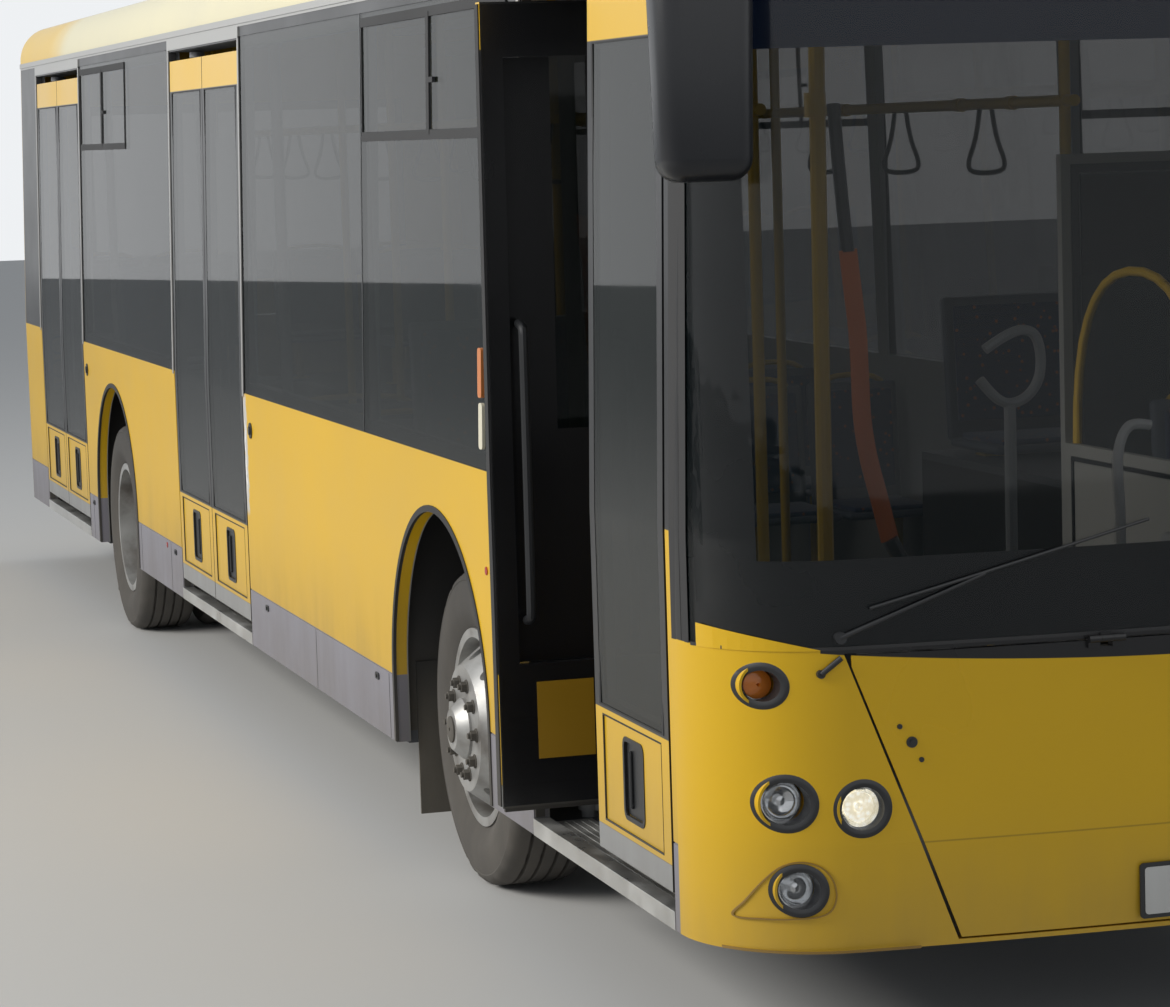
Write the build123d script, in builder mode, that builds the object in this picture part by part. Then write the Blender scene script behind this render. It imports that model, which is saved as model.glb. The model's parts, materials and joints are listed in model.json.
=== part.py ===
from build123d import *
import os
from math import atan2, cos, degrees, hypot, pi, sin, sqrt

os.makedirs("parts", exist_ok=True)

# Low-floor city bus with three doorways on the kerb side, in millimetres
# +X forward, +Y left, +Z up, origin on the ground under the middle of the bus

# Body shell
half_width = 1275.0
lean = 38.0            # how far the sides lean in between belt and gutter
wall = 45.0
skirt_z = 350.0
crease_z = 600.0       # fold across the front's lower edge
nose_tuck = 14.0       # how far the front tucks in from the fold to its lower edge
seam_z = 565.0         # seam between body panel and skirt
groove = (3.0, 5.0)    # seam's depth and height
belt_z = 1310.0
gutter_z = 2715.0
glass_top_z = gutter_z - 65.0
roof_rise = 235.0      # roof's middle above the gutter
roof_z = gutter_z + roof_rise
glass = 8.0            # bonded glass
rebate = 9.0           # depth of the step that the glass lies in
shell = 40.0           # thickness of the front and rear panels

# Floor
floor_z = 380.0
floor_plate = 40.0
box_plate = 25.0

# Wheels and axles
front_axle_x = 3275.0
wheelbase = 6140.0
rear_axle_x = front_axle_x - wheelbase
front_end_x = front_axle_x + 2302.0  # where the sides meet the front corners
rear_end_x = rear_axle_x - 2995.0    # where the sides meet the rear corners
nose_x = front_end_x + 408.0
tail_x = rear_end_x - 128.0
tyre_radius = 479.0
tyre_width = 276.0
front_track_y = half_width - 233.0
twin_outer_y = half_width - 163.0
twin_pitch = 316.0
arch_radius = 575.0
arch_top_z = 1145.0
kingpin_y = front_track_y - 115.0
running = 0.05         # radial clearance of a turning pin
seat_gap = 0.3

# Doorways: rear edge, width, pivot's distance from the leaf's post edge
door_head_z = gutter_z - 75.0
door_sill_z = 395.0
header = 40.0          # depth of the door gear box over each doorway
header_over = 35.0
header_y = 135.0       # door gear box's middle inside the side
header_deep = 140.0
leaf_thick = 40.0
leaf_z = 440.0
leaf_top_z = door_head_z - 40.0
post_gap = 16.0
middle_gap = 10.0
open_reach = 1375.0    # how far out the open leaf's edge stands
open_mid = 32.0        # open leaf's middle plane from the post's edge
column_back = 45.0     # column's axis behind the post's edge
column_radius = 22.0
pivot_in = 90.0        # pivot's distance inboard of the leaf's middle plane
doorways = {
    "front": (front_axle_x + 1025.0, 1242.0, 165.0),
    "middle": (rear_axle_x + 1715.0, 1500.0, 225.0),
    "rear": (rear_axle_x - 2375.0, 1500.0, 225.0),
}


def side_y(z):
    return half_width - lean * max(0.0, z - belt_z) / (gutter_z - belt_z)


def side_strip(side, outer, inner, z0, z1):
    """Outline, in a cross plane, of a strip that follows the leaning side."""
    heights = [z0] + ([belt_z] if z0 < belt_z < z1 else []) + [z1]
    out = [(side * (side_y(z) - outer), z) for z in heights]
    back = [(side * (side_y(z) - inner), z) for z in reversed(heights)]
    return out + back


def strip_face(x, outline):
    """Sketch of a closed outline in the cross plane at x."""
    with BuildSketch(Plane.YZ.offset(x)) as face:
        with BuildLine():
            Polyline(*outline, close=True)
        make_face()
    return face.sketch


# Front and rear ends in plan: sign, tip, nose radius, lean back at the gutter, tuck below the fold, corner x
ends = {
    "front": (1, nose_x, 8000.0, 70.0, nose_tuck, front_end_x),
    "rear": (-1, -tail_x, 40000.0, 25.0, 0.0, -rear_end_x),
}
screen_z = 1062.0      # lower edge of the windscreen


def end_tip(end, z):
    """How far the end reaches at height z, with its lean above and its tuck below."""
    sign, tip, nose, back, tuck, corner = ends[end]
    rise = max(0.0, z - screen_z) / (gutter_z - screen_z)
    fall = max(0.0, crease_z - z) / (crease_z - skirt_z)
    return tip - back * rise - tuck * fall


def end_outline(end, inset, z):
    """Plan of one end of the body at height z: two corner arcs and a nose arc."""
    sign, tip, nose, back, tuck, corner = ends[end]
    tip = end_tip(end, z) - inset
    side = side_y(z) - inset
    centre = tip - nose
    arc = (nose ** 2 - (corner - centre) ** 2 - side ** 2) / (2 * (nose - side))
    arc_y = side - arc
    turn = atan2(arc_y, corner - centre)
    middle = (turn + pi / 2) / 2
    touch = (centre + nose * cos(turn), nose * sin(turn))
    bend = (corner + arc * cos(middle), arc_y + arc * sin(middle))
    points = [(corner, side), bend, touch, (tip, 0.0)]
    with BuildSketch(Plane.XY.offset(z)) as face:
        with BuildLine():
            p = [(sign * x, y) for x, y in points]
            m = [(sign * x, -y) for x, y in points]
            ThreePointArc(p[0], p[1], p[2])
            ThreePointArc(p[2], p[3], m[2])
            ThreePointArc(m[2], m[1], m[0])
            Line(m[0], p[0])
        make_face()
    return face.sketch


def end_volume(end, inset, heights):
    """Solid of one end of the body between the given heights."""
    with BuildPart() as volume:
        loft([end_outline(end, inset, z) for z in heights], ruled=True)
    return volume.part


def block(x0, x1, y0, y1, z0, z1, mode=Mode.ADD):
    with Locations(((x0 + x1) / 2, (y0 + y1) / 2, (z0 + z1) / 2)):
        Box(abs(x1 - x0), abs(y1 - y0), abs(z1 - z0), mode=mode)


def save(piece, name):
    piece.label = name
    export_step(piece, "parts/" + name + ".step")


shell_heights = (skirt_z, crease_z, screen_z, belt_z, gutter_z)

# Side windows: side, first x, last x
pane_gap = 12.0
middle_end = doorways["middle"][0] + doorways["middle"][1]
rear_door_end = doorways["rear"][0] + doorways["rear"][1]
right_joint = front_axle_x - 884.0
left_joints = (right_joint, 594.0, rear_axle_x + 1609.0, rear_axle_x - 241.0)
windows = [
    (-1, middle_end + 40, right_joint - pane_gap / 2),
    (-1, right_joint + pane_gap / 2, doorways["front"][0] - 110),
    (-1, rear_door_end + 40, doorways["middle"][0] - 50),
    (1, front_axle_x + 875, front_end_x - 77),
    (1, left_joints[0] + pane_gap / 2, front_axle_x + 825),
    (1, left_joints[1] + pane_gap / 2, left_joints[0] - pane_gap / 2),
    (1, left_joints[2] + pane_gap / 2, left_joints[1] - pane_gap / 2),
    (1, left_joints[3] + pane_gap / 2, left_joints[2] - pane_gap / 2),
    (1, rear_axle_x - 2135, left_joints[3] - pane_gap / 2),
]
frame_in = 45.0        # how far the opening lies inside the pane's edge


def arch(side, x):
    """Cutter for one wheel arch, round over the seam and straight below it."""
    with BuildPart() as cutter:
        with BuildSketch(Plane.XZ):
            with Locations((x, seam_z)):
                Circle(arch_radius)
            with Locations((x, (seam_z + skirt_z) / 2 - 50)):
                Rectangle(2 * arch_radius, seam_z - skirt_z + 100)
        extrude(amount=-side * (half_width + 20))
        with Locations((x, 0, seam_z)):
            Box(2.2 * arch_radius, 2 * (half_width - 2 * wall), 4 * arch_radius, mode=Mode.SUBTRACT)
    return cutter.part


def side_wall(side):
    with BuildPart() as side_body:
        section = strip_face(rear_end_x, side_strip(side, 0, wall, skirt_z, gutter_z))
        extrude(section, amount=front_end_x - rear_end_x, dir=(1, 0, 0))
        with Locations(((rear_end_x + front_end_x) / 2, side * half_width, seam_z)):
            Box(front_end_x - rear_end_x + 20, 2 * groove[0], groove[1], mode=Mode.SUBTRACT)
        for window_side, x0, x1 in windows:
            if window_side == side:
                step = strip_face(x0 - 1, side_strip(side, -5, rebate, belt_z + 6, glass_top_z + 1))
                extrude(step, amount=x1 - x0 + 2, dir=(1, 0, 0), mode=Mode.SUBTRACT)
                z0 = belt_z + frame_in
                z1 = glass_top_z - frame_in
                with Locations(((x0 + x1) / 2, side * half_width, (z0 + z1) / 2)):
                    Box(x1 - x0 - 2 * frame_in, 4 * wall, z1 - z0, mode=Mode.SUBTRACT)
        if side < 0:
            for rear, width, reach in doorways.values():
                with Locations((rear + width / 2, side * half_width, (skirt_z + door_head_z) / 2)):
                    Box(width, 4 * wall, door_head_z - skirt_z + 2, mode=Mode.SUBTRACT)
            outer_y = -half_width - 1
            block(rear_end_x - 1, front_end_x + 1, outer_y, outer_y + 4 * wall, door_head_z, gutter_z + 1, Mode.SUBTRACT)
        for x in (front_axle_x, rear_axle_x):
            add(arch(side, x), mode=Mode.SUBTRACT)
    return side_body.part


save(side_wall(-1), "body_side_right")
save(side_wall(1), "body_side_left")

# Rail over the kerb side's panels and doorways, with the boxes for the door gear
with BuildPart() as cant_rail:
    section = strip_face(rear_end_x, side_strip(-1, 0, wall, door_head_z, gutter_z))
    extrude(section, amount=front_end_x - rear_end_x, dir=(1, 0, 0))
    for window_side, x0, x1 in windows:
        if window_side < 0:
            step = strip_face(x0 - 1, side_strip(-1, -5, rebate, belt_z + 6, glass_top_z + 1))
            extrude(step, amount=x1 - x0 + 2, dir=(1, 0, 0), mode=Mode.SUBTRACT)
    for rear, width, reach in doorways.values():
        with Locations((rear + width / 2, header_y - half_width, door_head_z + header / 2)):
            Box(width + 2 * header_over, header_deep, header)
save(cant_rail.part, "cant_rail_right")

# Sills under the doorways
with BuildPart() as door_sills:
    for rear, width, reach in doorways.values():
        block(rear, rear + width, -half_width, wall - half_width, skirt_z, door_sill_z)
save(door_sills.part, "door_sills")

# Bonded side glass, both sides
with BuildPart() as side_windows:
    for side, x0, x1 in windows:
        pane_face = strip_face(x0, side_strip(side, rebate - glass, rebate, belt_z + 7, glass_top_z))
        extrude(pane_face, amount=x1 - x0, dir=(1, 0, 0))
save(side_windows.part, "side_windows")

# Roof: cove over the gutter, crowned top, closed nose and tail
crown_y = half_width - 235.0
crown_z = roof_z - 28.0
cove = (half_width - 85.0, gutter_z + 137.0)
roof_wall = 45.0


def roof_face(x, inset):
    edge = side_y(gutter_z) - inset
    with BuildSketch(Plane.YZ.offset(x)) as face:
        with BuildLine():
            bend = (cove[0] - inset, cove[1] - inset)
            crown = (crown_y - inset, crown_z - inset)
            ThreePointArc((edge, gutter_z), bend, crown)
            ThreePointArc(crown, (0, roof_z - inset), (-crown[0], crown[1]))
            ThreePointArc((-crown[0], crown[1]), (-bend[0], bend[1]), (-edge, gutter_z))
            Line((-edge, gutter_z), (edge, gutter_z))
        make_face()
    return face.sketch


# Roof's front corner: set back from the nose at the corner, middle and knee, and in from the side
roof_back = (150.0, 64.0)
roof_in = (105.0, 280.0)
tail_back = (62.0, 25.0)
tail_in = (32.0, 130.0)


def roof_plan(z, shrink):
    """Plan of the whole roof, made smaller by shrink towards the crown."""
    side = side_y(gutter_z)
    nose = nose_x - ends["front"][3] - shrink
    tail = tail_x + shrink / 4
    front = [(front_end_x - shrink, side)] + [(nose - a, side - b) for a, b in zip(roof_back, roof_in)]
    rear = [(rear_end_x, side)] + [(tail + a, side - b) for a, b in zip(tail_back, tail_in)]
    with BuildSketch(Plane.XY.offset(z)) as face:
        with BuildLine():
            ThreePointArc(*front)
            ThreePointArc(front[2], (nose, 0), (front[2][0], -front[2][1]))
            ThreePointArc(*[(x, -y) for x, y in reversed(front)])
            Line((front[0][0], -side), (rear_end_x, -side))
            ThreePointArc(*[(x, -y) for x, y in rear])
            Line((rear[2][0], -rear[2][1]), rear[2])
            ThreePointArc(*reversed(rear))
            Line(rear[0], front[0])
        make_face()
    return face.sketch


roof_ends = (tail_x + 130.0, nose_x - 295.0)  # hollow's ends
with BuildPart() as roof_outer:
    loft([roof_plan(gutter_z, 0), roof_plan(roof_z + 5, 190)], ruled=True)
    extrude(roof_face(tail_x - 20, 0), amount=nose_x - tail_x + 40, dir=(1, 0, 0), mode=Mode.INTERSECT)
with BuildPart() as roof:
    add(roof_outer.part)
    inside = roof_face(roof_ends[0], roof_wall)
    extrude(inside, amount=roof_ends[1] - roof_ends[0], dir=(1, 0, 0), mode=Mode.SUBTRACT)
save(roof.part, "roof")

# Front panel with corner pillars, cut for the windscreen and the service hatch
screen_top_z = gutter_z - 25.0
screen_edge_x = front_end_x + 55
pillar_y = half_width - 90.0
screen_frame = 48.0
hatch_gap = 5.0
side_gap = 8.0         # wider, because the corners drop as the hatch starts to open
hem = 4.0              # thickness of the hatch's slanting edges, and their width
hem_in = 30.0
corner_cut = (10.0, 26.0)
lid_thick = 28.0
hinge_radius = 9.0
hinge_pin = 4.0
hinge_length = 30.0
hinge_play = 0.5
hinge_clear = 5.5
# Hinged covers: sign, hinge axis x and z, bottom z, half width at the bottom and the top, hinges at y
covers = {
    "front": (1, nose_x + 3, 1048.0, 366.0, half_width - 569, half_width - 306, 350.0),
    "rear": (-1, tail_x - 3, 1300.0, 470.0, half_width - 395, half_width - 395, 500.0),
}


def cover_prism(end, grow, side, cut=(0.0, 0.0)):
    """Hinged cover's outline as a prism, grown by side across the bus and cut at its top corners."""
    sign, axis_x, axis_z, bottom, low, high, hinges = covers[end]
    corner = ends[end][5]
    z0 = bottom - grow
    z1 = axis_z - hatch_gap + grow
    half = [(low + side, z0), (high + side, z1)]
    if cut[1]:
        slant = (high - low) / (z1 - z0)
        half[1:] = [(high + side - slant * cut[1], z1 - cut[1]), (high + side - cut[0], z1)]
    outline = half + [(-y, z) for y, z in reversed(half)]
    with BuildPart() as prism:
        extrude(strip_face(sign * (corner - 100), outline), amount=600, dir=(sign, 0, 0))
    return prism.part


def across(x, y0, y1, z, radius, mode=Mode.ADD):
    """Round bar along Y."""
    with Locations(Location((x, y0, z), (-90, 0, 0))):
        Cylinder(radius, y1 - y0, align=(Align.CENTER, Align.CENTER, Align.MIN), mode=mode)


def body_lugs(end):
    """Hinge lugs and pins on the body, with room for the cover's own lugs."""
    sign, axis_x, axis_z, bottom, low, high, hinges = covers[end]
    for y in (-hinges, hinges):
        with Locations((axis_x - sign * 25, y, axis_z)):
            Box(80, 3 * hinge_length + 2 * hinge_clear, 2 * (hinge_radius + hinge_clear), mode=Mode.SUBTRACT)
        with Locations((axis_x - sign * 24, y, axis_z + 3)):
            Box(46, hinge_length, 20)
        with Locations((axis_x - sign * 36, y, axis_z + 8)):
            Box(28, hinge_length, 30)
        across(axis_x, y - hinge_length / 2, y + hinge_length / 2, axis_z, hinge_radius)
        across(axis_x, y - 1.5 * hinge_length, y + 1.5 * hinge_length, axis_z, hinge_pin)


def cover_lugs(end):
    sign, axis_x, axis_z, bottom, low, high, hinges = covers[end]
    for y in (-hinges, hinges):
        with Locations((axis_x, y, axis_z)):
            Box(160, hinge_length + 2 * hinge_clear, 2 * (hinge_radius + 2 * hinge_clear), mode=Mode.SUBTRACT)
        for hand in (-1, 1):
            y0 = y + hand * (hinge_length + hinge_play) - hinge_length / 2
            across(axis_x, y0, y0 + hinge_length, axis_z, hinge_radius)
            with Locations((axis_x - sign * 15, y0 + hinge_length / 2, axis_z - 12)):
                Box(26, hinge_length, 18)
            across(axis_x, y0 - 1, y0 + hinge_length + 1, axis_z, hinge_pin + running, Mode.SUBTRACT)


def rebate_part(end, edge_x, z0, z1, grow=0.0, outer=-5.0, half=2000.0):
    """Band of the end's skin that the bonded glass lies in."""
    with BuildPart() as band:
        add(end_volume(end, outer, shell_heights))
        add(end_volume(end, rebate, shell_heights), mode=Mode.SUBTRACT)
        with Locations((edge_x + ends[end][0] * (500 - grow), 0, (z0 + z1) / 2)):
            Box(1000, 2 * half + 2 * grow, z1 - z0 + 2 * grow, mode=Mode.INTERSECT)
    return band.part


# Lamps at each end: height, distance from the middle, radius
front_lamps = {
    "turn": (975.0, half_width - 125, 42.0),
    "outer": (702.0, half_width - 167, 56.0),
    "inner": (686.0, half_width - 335, 56.0),
    "fog": (499.0, half_width - 191, 50.0),
}
rear_lamps = {
    "turn": (1180.0, half_width - 185, 50.0),
    "stop": (1050.0, half_width - 185, 50.0),
    "tail": (920.0, half_width - 185, 50.0),
    "reverse": (790.0, half_width - 185, 50.0),
}
lamp_depth = {"front": 60.0, "rear": 34.0}
lamp_wall = 6.0
lens_back = 12.0       # lens behind the cup's rim


def end_x(end, y, z):
    """Outer surface of an end at a distance from the middle."""
    sign, tip, nose, back, tuck, corner = ends[end]
    centre = end_tip(end, z) - nose
    side = side_y(z)
    arc = (nose ** 2 - (corner - centre) ** 2 - side ** 2) / (2 * (nose - side))
    arc_y = side - arc
    turn = atan2(arc_y, corner - centre)
    if abs(y) < nose * sin(turn):
        return sign * (centre + sqrt(nose ** 2 - y * y))
    return sign * (corner + sqrt(arc ** 2 - (abs(y) - arc_y) ** 2))


def along(x, y, z, length, radius, mode=Mode.ADD):
    """Round bar along X from x, backwards when the length is negative."""
    with Locations(Location((x, y, z), (0, 90 if length > 0 else -90, 0))):
        Cylinder(radius, abs(length), align=(Align.CENTER, Align.CENTER, Align.MIN), mode=mode)


def lamp_cups(end, lamps):
    sign = ends[end][0]
    depth = lamp_depth[end]
    for z, y, radius in lamps.values():
        for hand in (-1, 1):
            x = end_x(end, y + radius * 0.5, z)
            along(x, hand * y, z, -sign * depth, radius + lamp_wall)
            along(x - sign * (depth - lamp_wall), hand * y, z, sign * 300, radius, Mode.SUBTRACT)


def lamp_set(end, lamps):
    sign = ends[end][0]
    with BuildPart() as lenses:
        for z, y, radius in lamps.values():
            for hand in (-1, 1):
                x = end_x(end, y + radius * 0.5, z) - sign * lens_back
                along(x, hand * y, z, -sign * (lamp_depth[end] - lamp_wall - lens_back), radius - seat_gap)
    return lenses.part


with BuildPart() as front_mask:
    add(end_volume("front", 0, shell_heights))
    add(end_volume("front", shell, shell_heights), mode=Mode.SUBTRACT)
    with Locations((front_end_x + 800, 0, (screen_z + screen_top_z) / 2)):
        Box(1500, 2 * pillar_y, screen_top_z - screen_z - 2 * screen_frame, mode=Mode.SUBTRACT)
    add(rebate_part("front", screen_edge_x, screen_z, screen_top_z, grow=1.0), mode=Mode.SUBTRACT)
    add(cover_prism("front", hatch_gap, side_gap), mode=Mode.SUBTRACT)
    lamp_cups("front", front_lamps)
    body_lugs("front")
    gear_y = (header_y - header_deep / 2 - 5 - half_width, header_y + header_deep / 2 + 10 - half_width)
    block(front_end_x, front_end_x + 60, *gear_y, door_head_z, door_head_z + header)
save(front_mask.part, "front_mask")
save(rebate_part("front", screen_edge_x, screen_z, screen_top_z, outer=rebate - glass), "windscreen")
save(lamp_set("front", front_lamps), "lamps_front")

# Behind the hatch's hem the lid is narrower, so that it passes the slanting edges
with BuildPart() as hem_cut:
    add(end_volume("front", hem, shell_heights))
    add(cover_prism("front", 1, -hem_in), mode=Mode.SUBTRACT)
with BuildPart() as front_hatch:
    add(end_volume("front", 0, shell_heights))
    add(end_volume("front", lid_thick, shell_heights), mode=Mode.SUBTRACT)
    add(cover_prism("front", 0, 0, corner_cut), mode=Mode.INTERSECT)
    add(hem_cut.part, mode=Mode.SUBTRACT)
    cover_lugs("front")
save(front_hatch.part, "front_hatch")

# Rear wall with its window and engine lid
rear_glass_z = (1500.0, gutter_z - 235)
rear_glass_y = half_width - 375
with BuildPart() as rear_wall:
    add(end_volume("rear", 0, shell_heights))
    add(end_volume("rear", shell, shell_heights), mode=Mode.SUBTRACT)
    with Locations((tail_x, 0, sum(rear_glass_z) / 2)):
        depth = rear_glass_z[1] - rear_glass_z[0]
        Box(400, 2 * (rear_glass_y - frame_in), depth - 2 * frame_in, mode=Mode.SUBTRACT)
    add(rebate_part("rear", rear_end_x, *rear_glass_z, grow=1.0, half=rear_glass_y), mode=Mode.SUBTRACT)
    add(cover_prism("rear", hatch_gap, hatch_gap), mode=Mode.SUBTRACT)
    lamp_cups("rear", rear_lamps)
    body_lugs("rear")
save(rear_wall.part, "rear_wall")
save(rebate_part("rear", rear_end_x, *rear_glass_z, outer=rebate - glass, half=rear_glass_y), "rear_window")
save(lamp_set("rear", rear_lamps), "lamps_rear")

with BuildPart() as engine_lid:
    add(end_volume("rear", 0, shell_heights))
    add(end_volume("rear", lid_thick, shell_heights), mode=Mode.SUBTRACT)
    add(cover_prism("rear", 0, 0), mode=Mode.INTERSECT)
    cover_lugs("rear")
save(engine_lid.part, "engine_lid")

# Floor: low plate, raised platforms over the wheels and the engine, ladder frame, tow eyes
floor_y = half_width - wall
floor_under = floor_z - floor_plate
# Wheel boxes: axle x, half length, inner face y
wheel_boxes = ((front_axle_x, 600.0, front_track_y - 467), (rear_axle_x, 590.0, twin_outer_y - 487))
box_top_z = arch_top_z + box_plate
bay_top_z = 950.0
bay_side_y = 200.0
bay_mouth_y = half_width - 155.0
bay_step_x = rear_end_x + 460.0
bay_front_x = rear_end_x + 1560.0
bay_under = bay_top_z - box_plate
rail_y = 500.0
rail = (60.0, 80.0)
rail_ends = (rear_end_x - 40.0, front_end_x - 177.0)
cross_x = (front_axle_x + 1225.0, front_axle_x - 1575.0, rear_axle_x + 2365.0, rear_end_x + 1060.0)
cross_member = (60.0, 2 * half_width - 250.0, 50.0)
tow_length = 80.0
tow_radius = 16.0

with BuildPart() as floor:
    block(rear_end_x, front_end_x, -floor_y, floor_y, floor_under, floor_z)
    for end in ends:
        extrude(end_outline(end, shell + seat_gap, floor_under), amount=floor_plate, dir=(0, 0, 1))
    for x, half, inner in wheel_boxes:
        for hand in (-1, 1):
            block(x - half, x + half, hand * inner, hand * (floor_y + 10), 0, floor_z, Mode.SUBTRACT)
    bay_y = floor_y - box_plate
    block(rear_end_x, bay_front_x - box_plate, bay_side_y + box_plate, bay_y, 0, floor_z, Mode.SUBTRACT)
    block(rear_end_x, bay_step_x - box_plate, -bay_y, bay_y, 0, floor_z, Mode.SUBTRACT)
    block(tail_x, rear_end_x, -bay_mouth_y, bay_mouth_y, 0, floor_z, Mode.SUBTRACT)
save(floor.part, "floor")

# Platform tops: one over each wheel and one beside the engine
with BuildPart() as platform_tops:
    for x, half, inner in wheel_boxes:
        out = half + box_plate
        for hand in (-1, 1):
            block(x - out, x + out, hand * (inner - box_plate), hand * floor_y, arch_top_z, box_top_z)
    block(bay_step_x, bay_front_x, bay_side_y, floor_y, bay_under, bay_top_z)
save(platform_tops.part, "platform_tops")

# Rear platform across the whole width
with BuildPart() as bench_platform:
    block(rear_end_x, bay_step_x, -floor_y, floor_y, bay_under, bay_top_z)
    extrude(end_outline("rear", shell + seat_gap, bay_under), amount=box_plate, dir=(0, 0, 1))
save(bench_platform.part, "bench_platform")

# Walls along the bus under the platforms
with BuildPart() as platform_sides:
    for x, half, inner in wheel_boxes:
        out = half + box_plate
        for hand in (-1, 1):
            block(x - out, x + out, hand * (inner - box_plate), hand * inner, floor_z, arch_top_z)
    block(bay_step_x - box_plate, bay_front_x, bay_side_y, bay_side_y + box_plate, floor_z, bay_under)
    block(rear_end_x, bay_front_x, bay_y, floor_y, floor_z, bay_under)
    block(rear_end_x, bay_step_x, -floor_y, -bay_y, floor_z, bay_under)
save(platform_sides.part, "platform_sides")

# Walls across the bus under the platforms
with BuildPart() as platform_ends:
    for x, half, inner in wheel_boxes:
        for hand in (-1, 1):
            for face in (x - half - box_plate, x + half):
                block(face, face + box_plate, hand * inner, hand * floor_y, floor_z, arch_top_z)
    block(bay_front_x - box_plate, bay_front_x, bay_side_y + box_plate, bay_y, floor_z, bay_under)
    block(bay_step_x - box_plate, bay_step_x, -bay_y, bay_side_y, floor_z, bay_under)
save(platform_ends.part, "platform_ends")

with BuildPart() as chassis_frame:
    for hand in (-1, 1):
        y = hand * rail_y
        block(*rail_ends, y - rail[0] / 2, y + rail[0] / 2, floor_under - rail[1], floor_under)
    for x in cross_x:
        with Locations((x, 0, floor_under - cross_member[2] / 2)):
            Box(*cross_member)
save(chassis_frame.part, "chassis_frame")

# Tow eyes close the front ends of the rails
with BuildPart() as tow_eyes:
    for hand in (-1, 1):
        y = hand * rail_y
        tow_y = (y - rail[0] / 2, y + rail[0] / 2)
        block(rail_ends[1], rail_ends[1] + tow_length, *tow_y, floor_under - rail[1], floor_under)
        eye_x = rail_ends[1] + tow_length / 2
        across(eye_x, y - rail[0], y + rail[0], floor_under - rail[1] / 2, tow_radius, Mode.SUBTRACT)
save(tow_eyes.part, "tow_eyes")

engine_x = (rear_end_x + 30.0, bay_front_x - 200.0)
engine_y = (bay_side_y + 100.0, half_width - 195.0)
engine_top = 890.0
engine_cover = (1100.0, 420.0, 20.0)
with BuildPart() as engine_block:
    block(*engine_x, *engine_y, floor_under, engine_top)
    with Locations((sum(engine_x) / 2, sum(engine_y) / 2, engine_top + engine_cover[2] / 2)):
        Box(*engine_cover)
save(engine_block.part, "engine_block")

# Axles
beam_z = (185.0, 250.0)
boss_z = (430.0, 528.0)
boss_radius = 45.0
king_radius = 20.0
spring_y = 385.0
spring_radius = 65.0
with BuildPart() as front_axle:
    beam_y = kingpin_y - 307
    block(front_axle_x - 45, front_axle_x + 45, -beam_y, beam_y, *beam_z)
    for hand in (-1, 1):
        neck = [(beam_y - 20, beam_z[0]), (beam_y + 20, beam_z[0]), (kingpin_y - 97, boss_z[0] + 6),
                (kingpin_y, boss_z[0] + 6), (kingpin_y, boss_z[1] - 6), (kingpin_y - 127, boss_z[1] - 6),
                (beam_y - 20, beam_z[1])]
        extrude(strip_face(front_axle_x - 38, [(hand * y, z) for y, z in neck]), amount=76, dir=(1, 0, 0))
        with Locations((front_axle_x, hand * kingpin_y, sum(boss_z) / 2)):
            Cylinder(boss_radius, boss_z[1] - boss_z[0])
            Cylinder(king_radius + running, 200, mode=Mode.SUBTRACT)
        with Locations((front_axle_x, hand * spring_y, (beam_z[1] + floor_under) / 2)):
            Cylinder(spring_radius, floor_under - beam_z[1])
save(front_axle.part, "front_axle")

lug_gap = 6.0
lug = 26.0
web_y = (front_track_y - 60, front_track_y - 36)
front_spindle = 45.0
rear_spindle = 50.0
for hand, name in ((-1, "right"), (1, "left")):
    with BuildPart() as knuckle:
        y = hand * kingpin_y
        z0 = boss_z[0] - lug_gap - lug
        z1 = boss_z[1] + lug_gap + lug
        for z in (z0, z1 - lug):
            block(front_axle_x - 38, front_axle_x + 38, y, hand * web_y[1], z, z + lug)
            with Locations((front_axle_x, y, z + lug / 2)):
                Cylinder(42, lug)
        block(front_axle_x - 60, front_axle_x + 60, hand * web_y[0], hand * web_y[1], z0, z1)
        with Locations((front_axle_x, y, (z0 + z1) / 2)):
            Cylinder(king_radius, z1 - z0)
        ends_y = sorted((hand * web_y[1], hand * (front_track_y + 100)))
        across(front_axle_x, ends_y[0], ends_y[1], tyre_radius, front_spindle)
    save(knuckle.part, "knuckle_" + name)

case_y = (twin_outer_y - 484, twin_outer_y - 460)
case_top = 580.0
rear_beam_z = (175.0, 255.0)
with BuildPart() as rear_axle:
    block(rear_axle_x - 70, rear_axle_x + 70, -case_y[0], case_y[0], *rear_beam_z)
    for hand in (-1, 1):
        case_x = (rear_axle_x - 90, rear_axle_x + 90)
        block(*case_x, hand * (case_y[0] - 20), hand * case_y[0], *rear_beam_z)
        block(*case_x, hand * case_y[0], hand * case_y[1], rear_beam_z[0], case_top)
        ends_y = sorted((hand * case_y[0], hand * (twin_outer_y + 20)))
        across(rear_axle_x, ends_y[0], ends_y[1], tyre_radius, rear_spindle)
        with Locations((rear_axle_x, hand * spring_y, (rear_beam_z[1] + floor_under) / 2)):
            Cylinder(spring_radius, floor_under - rear_beam_z[1])
save(rear_axle.part, "rear_axle")

# Wheels: disc rims and tyres, turned about the axle
barrel = (272.0, 284.0)
flange = (300.0, 12.0)
rim_half = 115.0
disc_offset = 158.0
disc_plate = 12.0
hand_holes = 10
hand_hole = 22.0
hand_hole_r = 228.0
bead = (30.0, 16.0)    # tyre's bead: in from its side, out from the barrel
tyre_wall = ((0.0, 94.0), (14.0, 17.0))  # side wall's points: in from the side, below the tread
tyre_round = 42.0
hub = {"front": (92.0, 62.0), "rear": (100.0, 80.0)}


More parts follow.
